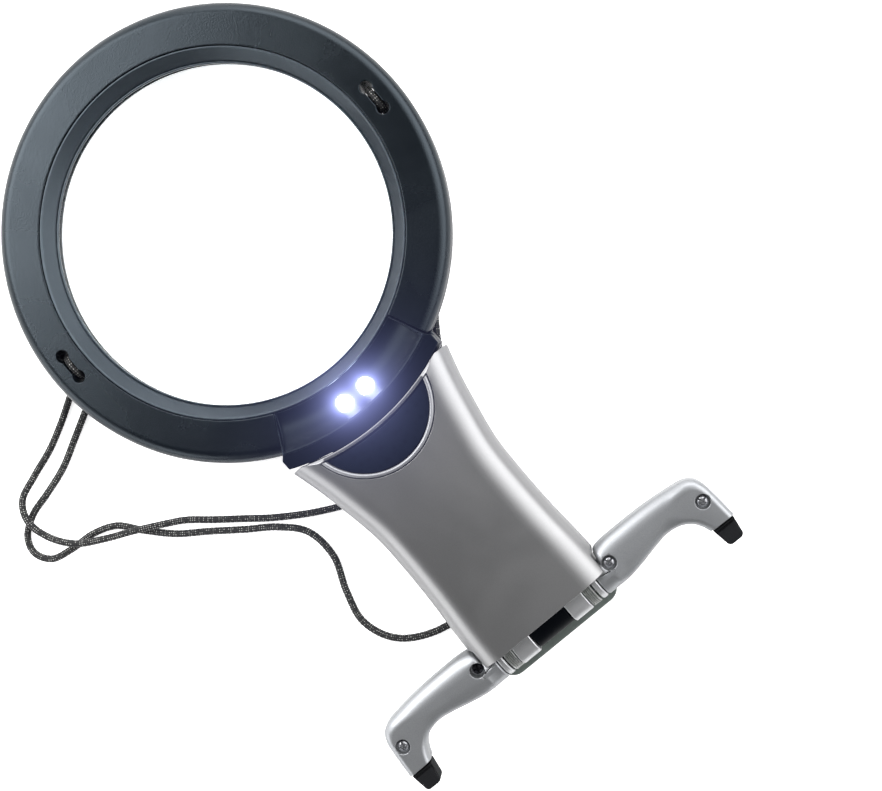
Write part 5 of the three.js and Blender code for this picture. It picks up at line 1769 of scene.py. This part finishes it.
@dataclass
class RestLeg(Assembly):
    """One leg: two shells, two screws and a rubber tip, drafted on the right side."""

    side: Side
    start: float = 24.4
    length: float = 41.6
    top: float = 149.8
    heel: float = 170.3
    corner: Point = (4.6, 2.0)
    crown: Point = (0.86, 3.1)
    crown_root: Point = (0.02, 0.16)
    crown_end: Point = (0.58, 0.86)
    taper: float = 0.14
    root_round: float = 1.6
    root_reach: float = 2.3
    root_chamfer: float = 0.4
    well_radius: float = 2.4
    well_depth: float = 2.3
    sunk_well: float = 4.2
    screw_length: float = 6.6
    ring_end: float = 20.1
    axle_half: float = 23.1
    spare: float = 5.0
    root_screw: Point = (26.9, 157.4)
    foot_screw: Point = (61.1, 161.2)
    tip_span: Point = (57.7, 65.4)
    tip_end: float = 177.4
    tip_depth: float = 7.6
    tip_draft: float = 0.8
    tip_corner: float = 1.6
    tip_groove: Corner = (0.9, 1.2, 0.2)
    tenon: Corner = (4.4, 4.2, 3.6)
    upper: tuple[Point, ...] = (
        (0.0, 0.16), (0.012, 0.098), (0.05, 0.058), (0.28, 0.04), (0.52, 0.05), (0.735, 0.09), (0.87, 0.137),
        (0.935, 0.22), (0.971, 0.37), (0.986, 0.595), (1.0, 1.0),
    )
    lower: tuple[Point, ...] = (
        (0.0, 0.7805), (0.1, 0.765), (0.24, 0.72), (0.4, 0.65), (0.53, 0.61), (0.635, 0.64), (0.715, 0.735),
        (0.762, 0.87), (0.785, 0.99),
    )
    sections: int = 64
    corner_steps: int = 12

    @property
    def body(self) -> Body:
        """The body the leg swings with."""
        return LEG_BODIES[self.side]

    def _is_sunk(self, x: float) -> bool:
        """Whether a screw sits deep, as the one at the root of the left leg does."""
        return self.side is Side.LEFT and x == self.root_screw[0]

    def _well_floor(self, x: float) -> float:
        """Height of the floor of a screw's well."""
        depth = self.sunk_well if self._is_sunk(x) else self.well_depth
        return PLAN.axis_height + self.half_height(x) - depth

    def _place(self, share: Sequence[float]) -> Vector:
        """From shares of the leg's length and drop to (across, down)."""
        return Vector((self.start + share[0] * self.length, self.top + share[1] * (self.heel - self.top)))

    def _edge(self, shares: Sequence[Point]) -> list[Vector]:
        """A smooth edge in even steps of its length.

        Args:
            shares: Places on it, as shares of the leg's length and drop.

        Returns:
            Points of (across, down).
        """
        line = [self._place(p) for p in smooth_line(shares, 16)]
        reach = [0.0]
        for a, b in zip(line, line[1:]):
            reach.append(reach[-1] + (b - a).length)
        even: list[Vector] = []
        i = 0
        for k in range(self.sections + 1):
            goal = reach[-1] * k / self.sections
            while i < len(reach) - 2 and reach[i + 1] < goal:
                i += 1
            even.append(line[i].lerp(line[i + 1], (goal - reach[i]) / (reach[i + 1] - reach[i])))
        return even

    def half_height(self, x: float) -> float:
        """Half of the leg's depth at a place across."""
        return PLAN.barrel_radius * (1 - self.taper * max(0.0, (x - self.start) / self.length))

    def _section(self, upper: Vector, lower: Vector, inset: float) -> list[Vector]:
        """A rounded rectangle that stands on the line between two edge points.

        Args:
            upper: The point on the upper edge.
            lower: The point on the lower edge.
            inset: How far it is drawn in.

        Returns:
            The loop of its points.
        """
        middle, across = (upper + lower) / 2, upper - lower
        half, along = across.length / 2 - inset, across.normalized()
        height = self.half_height(middle.x) - inset
        share = min(max((middle.x - self.start) / self.length, 0.0), 1.0)
        corner = min(self.corner[0] + (self.corner[1] - self.corner[0]) * share, 0.9 * half, 0.9 * height)
        width, depth = self.crown
        soft = smooth_step(share, *self.crown_root) * (1 - smooth_step(share, *self.crown_end))
        reach = corner + (max(corner, width * half) - corner) * soft
        corner += (min(corner, depth) - corner) * soft
        points = []
        for turn, (sx, sy) in enumerate(((1, 1), (-1, 1), (-1, -1), (1, -1))):
            for x, y in arc((0, 0), corner, 90 * turn, 90 * turn + 90, self.corner_steps):
                spot = middle + along * (sx * (half - reach) + x * reach / corner)
                points.append(Vector((spot.x, -spot.y, PLAN.axis_height + sy * (height - corner) + y)))
        return points

    def _tenon(self, end: float, spare: float = 0.0) -> Solid:
        """The tip's tenon, or with some to spare its socket.

        Args:
            end: How far down it reaches.
            spare: What it is larger by all round.

        Returns:
            The draft.
        """
        width, depth, length = self.tenon
        middle, height = sum(self.tip_span) / 2, PLAN.axis_height
        low = (middle - width / 2 - spare, self.heel - length - spare, height - depth / 2 - spare)
        return block(low, (middle + width / 2 + spare, end, height + depth / 2 + spare))

    def _whole(self) -> Solid:
        """The arm as one skin, with its barrel root, its bore and the tip's socket.

        Returns:
            The draft.
        """
        loops = []
        for i, pair in enumerate(zip(self._edge(self.upper), self._edge(self.lower))):
            short = max(0.0, self.root_round - (i / self.sections) * self.length)
            loops.append(self._section(*pair, self.root_round - sqrt(self.root_round**2 - short**2)))
        start, end = self.ring_end + GAP, self.start + self.root_reach
        radius, chamfer = PLAN.barrel_radius, self.root_chamfer
        profile = [(0, start), (radius - chamfer, start), (radius, start + chamfer), (radius, end), (0, end)]
        bore = bar(self.ring_end, self.axle_half + GAP, PLAN.axle_radius + GAP)
        return lofted(loops).join(barrel(profile, 96)).cut(bore, self._tenon(self.heel + OVERRUN, GAP))

    def shells(self) -> None:
        """The front and the back shell, parted by a fine line."""
        whole, height, face = self._whole(), PLAN.axis_height, PLAN.handle_face
        near, far = self.top - self.spare, self.start + self.length + self.spare
        bottom = self.heel + self.spare
        for word, low, high in (("front", height + GAP / 2, face), ("back", 0.0, height - GAP / 2)):
            half = whole.copy().keep(block((0, near, low), (far, bottom, high)))
            for x, down in (self.root_screw, self.foot_screw):
                floor = self._well_floor(x)
                half.cut(pin(x, down, Screw.shank_radius + GAP, floor - self.screw_length, face))
                if word == "front":
                    half.cut(pin(x, down, self.well_radius, floor, face))
            name = f"leg_{word}_shell_{self.side.word}"
            self.finish(half.on_side(self.side), name, Paint.LEG, self.body, edge=0.2, angle=40)
        bpy.data.meshes.remove(whole.obj.data)

    def screws(self) -> None:
        """A cross-head screw in each well."""
        for place, (x, down) in (("root", self.root_screw), ("foot", self.foot_screw)):
            seat = self._well_floor(x) + GAP
            screw = Screw(min(self.screw_length, seat - PLAN.axis_height + self.half_height(x) - 2 * GAP))
            draft = screw.from_front(x, down, seat).on_side(self.side)
            # The deep-set screw gets the dark copy of the steel, painted shade standing in for the shadow of
            # its well.
            paint = Paint.SUNK if self._is_sunk(x) else Paint.SCREW
            self.finish(draft, f"leg_{place}_screw_{self.side.word}", paint, self.body, edge=0.05)

    def tip(self) -> None:
        """The rubber tip on its tenon."""
        (inner, outer), top, end = self.tip_span, self.heel + GAP, self.tip_end
        draft, corner, half, height = self.tip_draft, self.tip_corner, self.tip_depth / 2, PLAN.axis_height
        outline = [
            (inner, top), (outer, top),
            *arc((outer - draft - corner, end - corner), corner, 0, 90, 8),
            *arc((inner + draft + corner, end - corner), corner, 90, 180, 8),
        ]
        pad = prism(outline, height - half, height + half, draft, draft, 5)
        near, far, sunk = self.tip_groove
        low = (inner - OVERRUN, top + near, height + half - sunk)
        groove = block(low, (outer + OVERRUN, top + far, height + half + OVERRUN))
        whole = pad.join(self._tenon(top + OVERRUN)).cut(groove).on_side(self.side)
        self.finish(whole, f"foot_tip_{self.side.word}", Paint.RUBBER, self.body, edge=0.3)

    def build(self) -> None:
        """Builds the leg's pieces."""
        self.shells()
        self.screws()
        self.tip()


# Neck cord

# Routes over the table as (across, towards the lens), with a height where the cord isn't lying flat
STRAND_ROUTE: tuple[tuple[float, ...], ...] = (
    (-73, -0.5), (-78.4, -3.9), (-86, -8.2), (-94.5, -12.2), (-104.5, -15.6, 1.7), (-112.4, -19.4, 3.1),
    (-115.2, -26, 3.95), (-113.6, -34, 3.4), (-107.6, -42, 3.95), (-98.6, -47.4, 3.5),
    (-89.2, -51.7, 3.95), (-80.6, -56.2, 2.7), (-74, -60, 1.5), (-66.6, -66), (-58.6, -72.2),
    (-50.6, -78.4), (-37.4, -86.7), (-26, -91.8), (-13, -94), (0, -91.6),
    (11.5, -85), (20, -74.5), (26.6, -62),
)
LEAD_ROUTE: tuple[tuple[float, ...], ...] = (
    (-73, -8.6), (-78.4, -11.4), (-85.4, -15), (-95, -19.8), (-105, -22.8), (-113.4, -25),
    (-119.8, -29.4), (-121.6, -35), (-118.4, -40.4), (-111, -42.4),
    (-101.6, -43.2), (-93.4, -46.4), (-87.4, -53.4), (-79.6, -61.4),
    (-70.6, -67.8), (-60.4, -75.4), (-51.4, -81.8), (-44.5, -89.6),
    (-43.2, -101), (-47.6, -113), (-49.8, -124), (-45.4, -134.6), (-34, -141.6),
)
RETURN_ROUTE: tuple[tuple[float, ...], ...] = (
    (21.4, -108, 2.4), (21.8, -98, 1.4), (23, -86), (26.4, -75), (32.6, -64.6),
)


@dataclass
class NeckCord(Assembly):
    """The braided neck cord: two bights through the ring, a single strand, and the coiled lead."""

    diameter: float = 2.3
    lying: float = 1.25
    top: float = PLAN.inner_floor - GAP / 2
    exit_depth: float = 0.8
    exit_steps: int = 4
    coil_reach: float = 126.0
    coil_pitch: float = 2.75
    coil_turns: float = 9.25
    coil_steps: int = 24
    coil_middle: float = 12.65
    coil_tail: float = 4.6
    strand_band: Corner = (64.4, -57.5, -12.0)
    return_band: Corner = (68.2, -53.0, -5.4)
    step: float = 0.5
    sides: int = 20
    relief: float = 0.09
    pitch: float = 7.5
    carriers: int = 5

    def _hole(self, side: Side, end: int) -> Vector:
        """Place of a hole, with end 1 for the one away from the handle."""
        return Vector((side.value * PLAN.hole_circle, end * PLAN.hole_spacing / 2, self.top))

    def _exit(self, hole: Vector, to: Vector) -> list[Vector]:
        """The cord's way out of a hole and round on to the table.

        Args:
            hole: Place of the hole.
            to: Where the cord goes from there.

        Returns:
            Points from the hole to the table.
        """
        start = PLAN.ring_back + self.exit_depth
        radius = start - self.lying
        way = (to.xy - hole.xy).normalized()
        bend = [hole.copy()]
        for left, dropped in arc((0, 0), radius, 0, 90, self.exit_steps):
            spot = hole.xy + way * (radius - left)
            bend.append(Vector((*spot, start - dropped)))
        return bend

    def _raised(self, route: Iterable[Sequence[float]]) -> list[Vector]:
        """Gives the flat points of a route their height."""
        return [Vector((p[0], p[1], p[2] if len(p) > 2 else self.lying)) for p in route]

    def _coil(self) -> list[Vector]:
        """The coil: in on the table, up a layer, and out on top.

        Returns:
            Points along it, with a straight tail at each end.
        """
        spread = self.coil_turns * self.coil_pitch / 2
        outer = self.coil_middle + spread / 2
        middle = self.coil_turns / 2
        count = round(self.coil_turns * self.coil_steps)
        points = []
        for i in range(count + 1):
            turns = self.coil_turns * i / count
            radius = outer - spread * (1 - abs(turns - middle) / middle)
            height = self.lying + smooth_step(turns - middle, -0.25, 0.25) * self.coil_pitch
            angle = (turns - 0.25) * 2 * pi
            points.append(Vector((radius * cos(angle), radius * sin(angle) - self.coil_reach, height)))
        first, last = points[0], points[-1]
        return [first - Vector((self.coil_tail, 0, 0)), *points, last + Vector((0, self.coil_tail, 0))]

    def _even(self, knots: Sequence[Vector]) -> list[Vector]:
        """The smooth route through the knots, in even steps.

        Args:
            knots: Points it runs through.

        Returns:
            Points one step apart.
        """
        line = smooth_line(knots, 24)
        even, spare = [line[0]], 0.0
        for a, b in zip(line, line[1:]):
            length = (b - a).length
            place = self.step - spare
            while place <= length:
                even.append(a.lerp(b, place / length))
                place += self.step
            spare = length - (place - self.step)
        if spare > self.step / 2:
            even.append(line[-1])
        return even

    def _turns(self, line: Sequence[Vector]) -> list[Matrix]:
        """A frame at each point of a line, turned no more than the line itself turns.

        Args:
            line: Points of the line.

        Returns:
            The frames.
        """
        frames: list[Matrix] = []
        across = Vector((0, 0, 1))
        for i in range(len(line)):
            ahead = (line[min(i + 1, len(line) - 1)] - line[max(i - 1, 0)]).normalized()
            if i == 0 and abs(ahead.z) > 0.9:
                across = Vector((1, 0, 0))
            across = (across - ahead * across.dot(ahead)).normalized()
            frames.append(Matrix((across, ahead.cross(across), ahead)).transposed())
        return frames

    def _tube(self, name: str, line: Sequence[Vector], nodes: Sequence[str]) -> Piece:
        """Wraps a grid round a line into a tube with the braid in relief.

        Args:
            name: The piece's name.
            line: Centreline in millimetres about the lens.
            nodes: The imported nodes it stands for.

        Returns:
            The piece.
        """
        mesh = bmesh.new()
        last = len(line) - 1
        bmesh.ops.create_grid(mesh, x_segments=last, y_segments=self.sides, size=0.5)
        uv = mesh.loops.layers.uv.new("UVMap")
        frames = self._turns(line)
        for face in mesh.faces:
            for loop in face.loops:
                along, share = loop.vert.co.x + 0.5, loop.vert.co.y + 0.5
                loop[uv].uv = (share, along * last * self.step)
        for vert in mesh.verts:
            i = round((vert.co.x + 0.5) * last)
            share = vert.co.y + 0.5
            along = i * self.step / self.pitch
            weave = sin(2 * pi * self.carriers * (share + along))
            weave *= sin(2 * pi * self.carriers * (share - along))
            radius = self.diameter / 2 + self.relief * weave
            angle = 2 * pi * share
            offset = frames[i] @ Vector((radius * cos(angle), radius * sin(angle), 0))
            vert.co = TO_FRAME @ (line[i] + offset)
        bmesh.ops.remove_doubles(mesh, verts=mesh.verts, dist=TINY)
        bmesh.ops.holes_fill(mesh, edges=[e for e in mesh.edges if e.is_boundary], sides=0)
        bmesh.ops.recalc_face_normals(mesh, faces=mesh.faces)
        data = bpy.data.meshes.new(name)
        mesh.to_mesh(data)
        mesh.free()
        data.shade_smooth()
        piece = in_scene(name, data)
        self.declare(piece, Paint.CORD, Body.GLASS, nodes)
        return piece

    def bight(self, side: Side) -> Piece:
        """The bight in the channel, hanging down through both holes.

        Args:
            side: Its side of the ring.

        Returns:
            The piece.
        """
        half, foot, x = PLAN.hole_spacing / 2, self.top + GAP, side.value * PLAN.hole_circle
        crown = PLAN.ring_face - self.diameter / 2 - 2 * GAP - half
        middle = (foot + crown) / 2
        over = arc((0, crown), half, 180, 0, 8)
        rise = [(-half, foot), (-half, middle), *over, (half, middle), (half, foot)]
        name = f"cord_bight_{side.word}"
        return self._tube(f"{name}_piece", self._even([Vector((x, y, z)) for y, z in rise]), [name])

    def _declare_cord(self, piece: Piece, line: Sequence[Vector], bight: Piece, lay: str) -> None:
        """Args:
            piece: The cord's piece. Not used.
            line: Its centreline in millimetres about the lens. Not used.
            bight: The bight it goes on from. Not used.
            lay: How it lies. Not used.
        """

    def build(self) -> None:
        """Builds the bights and the two stretches of free cord."""
        left, right = Side.LEFT, Side.RIGHT
        bights = {side: self.bight(side) for side in Side}
        bands = (arc((0, 0), *band, 5) for band in (self.strand_band, self.return_band))
        routes = (STRAND_ROUTE, LEAD_ROUTE, RETURN_ROUTE, *bands)
        strand, lead, back, strand_band, return_band = (self._raised(route) for route in routes)
        line = self._even([
            *self._exit(self._hole(left, 1), strand[0]), *strand, *strand_band,
            *self._exit(self._hole(right, -1), strand_band[-1])[::-1],
        ])
        piece = self._tube("neck_cord_strand", line, ["cord_strand"])
        self._declare_cord(piece, line, bights[left], "loose")
        line = self._even([
            *self._exit(self._hole(left, -1), lead[0]), *lead, *self._coil(), *back, *return_band,
            *self._exit(self._hole(right, 1), return_band[-1])[::-1],
        ])
        piece = self._tube("neck_cord_lead", line, ["cord_lead", "cord_coil", "cord_return"])
        self._declare_cord(piece, line, bights[right], "coiled")


# Studio


@dataclass
class Studio:
    """The camera of the photograph, a pale floor and soft light."""

    camera_place: Corner = (59.2, -92.8, 415.6)
    camera_turn: Corner = (-2.664, 5.076, -40.420)
    camera_lens: float = 51.94
    floor_half: float = 3.0
    floor_glow: float = 0.7
    zenith: float = 0.07
    horizon: float = 1.9
    window: float = 4.2

    def camera(self) -> None:
        """The camera, held above the glass and turned with the handle pointing to the lower right."""
        data = bpy.data.cameras.new("camera")
        data.lens = self.camera_lens
        data.sensor_width = 36.0
        data.clip_start = 0.01
        data.clip_end = 20.0
        camera = in_scene("camera", data)
        camera.location = TO_FRAME @ Vector(self.camera_place)
        camera.rotation_euler = [radians(angle) for angle in self.camera_turn]
        bpy.context.scene.camera = camera

    def floor(self) -> None:
        """A wide pale floor, a little brighter straight on and through the lens than mirrored."""
        mesh = bmesh.new()
        bmesh.ops.create_grid(mesh, x_segments=1, y_segments=1, size=self.floor_half)
        data = bpy.data.meshes.new("floor")
        mesh.to_mesh(data)
        mesh.free()
        canvas = Canvas("floor")
        ray = canvas.node("LightPath").outputs
        seen = canvas.math("ADD", ray["Is Camera Ray"], ray["Is Transmission Ray"])
        canvas.set(
            Base_Color=(0.93, 0.93, 0.93, 1.0), Roughness=0.9, Specular_IOR_Level=0.1,
            Emission_Color=canvas.blend(seen, (0.0, 0.0, 0.0, 1.0), (1.0, 1.0, 1.0, 1.0)),
            Emission_Strength=self.floor_glow,
        )
        data.materials.append(canvas.material)
        in_scene("floor", data)

    def _area(self, name: str, place: Corner, size: Point, radiance: float, mirrored: bool = True) -> None:
        """A soft rectangular light that points at the glass.

        Args:
            name: The light's name.
            place: Where it hangs, in metres.
            size: Its width and height in metres.
            radiance: How bright its face is, 1 being white.
            mirrored: Whether polished surfaces show it.
        """
        data = bpy.data.lights.new(name, "AREA")
        data.shape = "RECTANGLE"
        data.size, data.size_y = size
        data.energy = radiance * pi * size[0] * size[1]
        light = in_scene(name, data)
        light.location = place
        light.rotation_euler = Vector(place).to_track_quat("Z", "Y").to_euler()
        light.visible_glossy = mirrored

    def lights(self) -> None:
        """A key light, a weaker one beyond the ring, a box on the left, and a fill that nothing mirrors."""
        self._area("key", (-0.27, 0.585, 0.688), (0.62, 0.62), 6.4)
        self._area("far_box", (0.37, 0.65, 0.58), (0.5, 0.34), 2.4)
        self._area("left_box", (-0.8, -0.05, 0.34), (0.8, 0.42), 2.2)
        self._area("fill", (0.1, 0.0, 1.3), (1.3, 1.3), 0.45, mirrored=False)

    def surroundings(self) -> None:
        """A soft room, dark overhead and bright as a window on the right, which itself looks white."""
        world = bpy.data.worlds.new("room")
        world.use_nodes = True
        room = Wiring(world.node_tree)
        place = room.place("Generated")

        def ramp(way: Corner, low: float, high: float, first: float, last: float) -> Socket:
            """A soft step between two levels along a direction.

            Args:
                way: The direction.
                low: Where along it the step starts.
                high: Where along it the step ends.
                first: The level before it.
                last: The level after it.

            Returns:
                The level.
            """
            along = room.dot(place, way)
            return room.spread(along, low, high, (first, last), interpolation_type="SMOOTHSTEP")

        height = ramp((0, 0, 1), 0.15, 0.8, self.horizon, self.zenith)
        beyond = ramp((-0.3, 1, 0), 0.0, 1.1, 0.2, 1.3)
        beside = ramp((1, 0, 0), 0.05, 0.9, 0.0, self.window)
        window = room.math("MULTIPLY", beside, ramp((0, 0, 1), 0.05, 0.5, 0.0, 1.0))
        level = room.math("MULTIPLY_ADD", height, beyond, window)
        seen = room.node("LightPath").outputs["Is Camera Ray"]
        background = {"Color": (1.0, 1.0, 1.0, 1.0), "Strength": room.math("MAXIMUM", level, seen)}
        room.fill(room.tree.nodes["Background"], background)
        bpy.context.scene.world = world
        bpy.context.scene.view_settings.view_transform = "Standard"

    def bloom(self) -> None:
        """The lamps' bloom in the picture, which only light brighter than white gives off."""
        scene = bpy.context.scene
        scene.use_nodes = True
        scene.node_tree.nodes.clear()
        desk = Wiring(scene.node_tree, "CompositorNode")
        seen = desk.node("RLayers").outputs["Image"]
        look = {"Image": seen, "Threshold": 8.0, "Strength": 1.5, "Size": 0.33, "Tint": (0.5, 0.53, 1.0, 1.0)}
        glare = desk.node("Glare", look, glare_type="BLOOM")
        desk.node("Composite", {"Image": glare.outputs["Image"]})

    def build(self) -> None:
        """Sets up the studio."""
        self.camera()
        self.floor()
        self.lights()
        self.surroundings()
        self.bloom()


def main() -> None:
    """Builds the studio, the cord and then the glass from its lens outwards."""
    logging.basicConfig(level=logging.INFO, format="%(message)s", stream=sys.stdout)
    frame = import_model()
    nodes = frame["nodes"]
    Effects()
    Studio().build()
    NeckCord(nodes).build()
    LensCell(nodes).build()
    RingFrame(nodes).build()
    Hood(nodes).build()
    button = LightButton(nodes)
    Handle(nodes).build(button.opening())
    button.build()
    PowerPack(nodes).build()
    BarrelHinge(nodes).build()
    for side in Side:
        RestLeg(nodes, side).build()


if __name__ == "__main__":
    main()
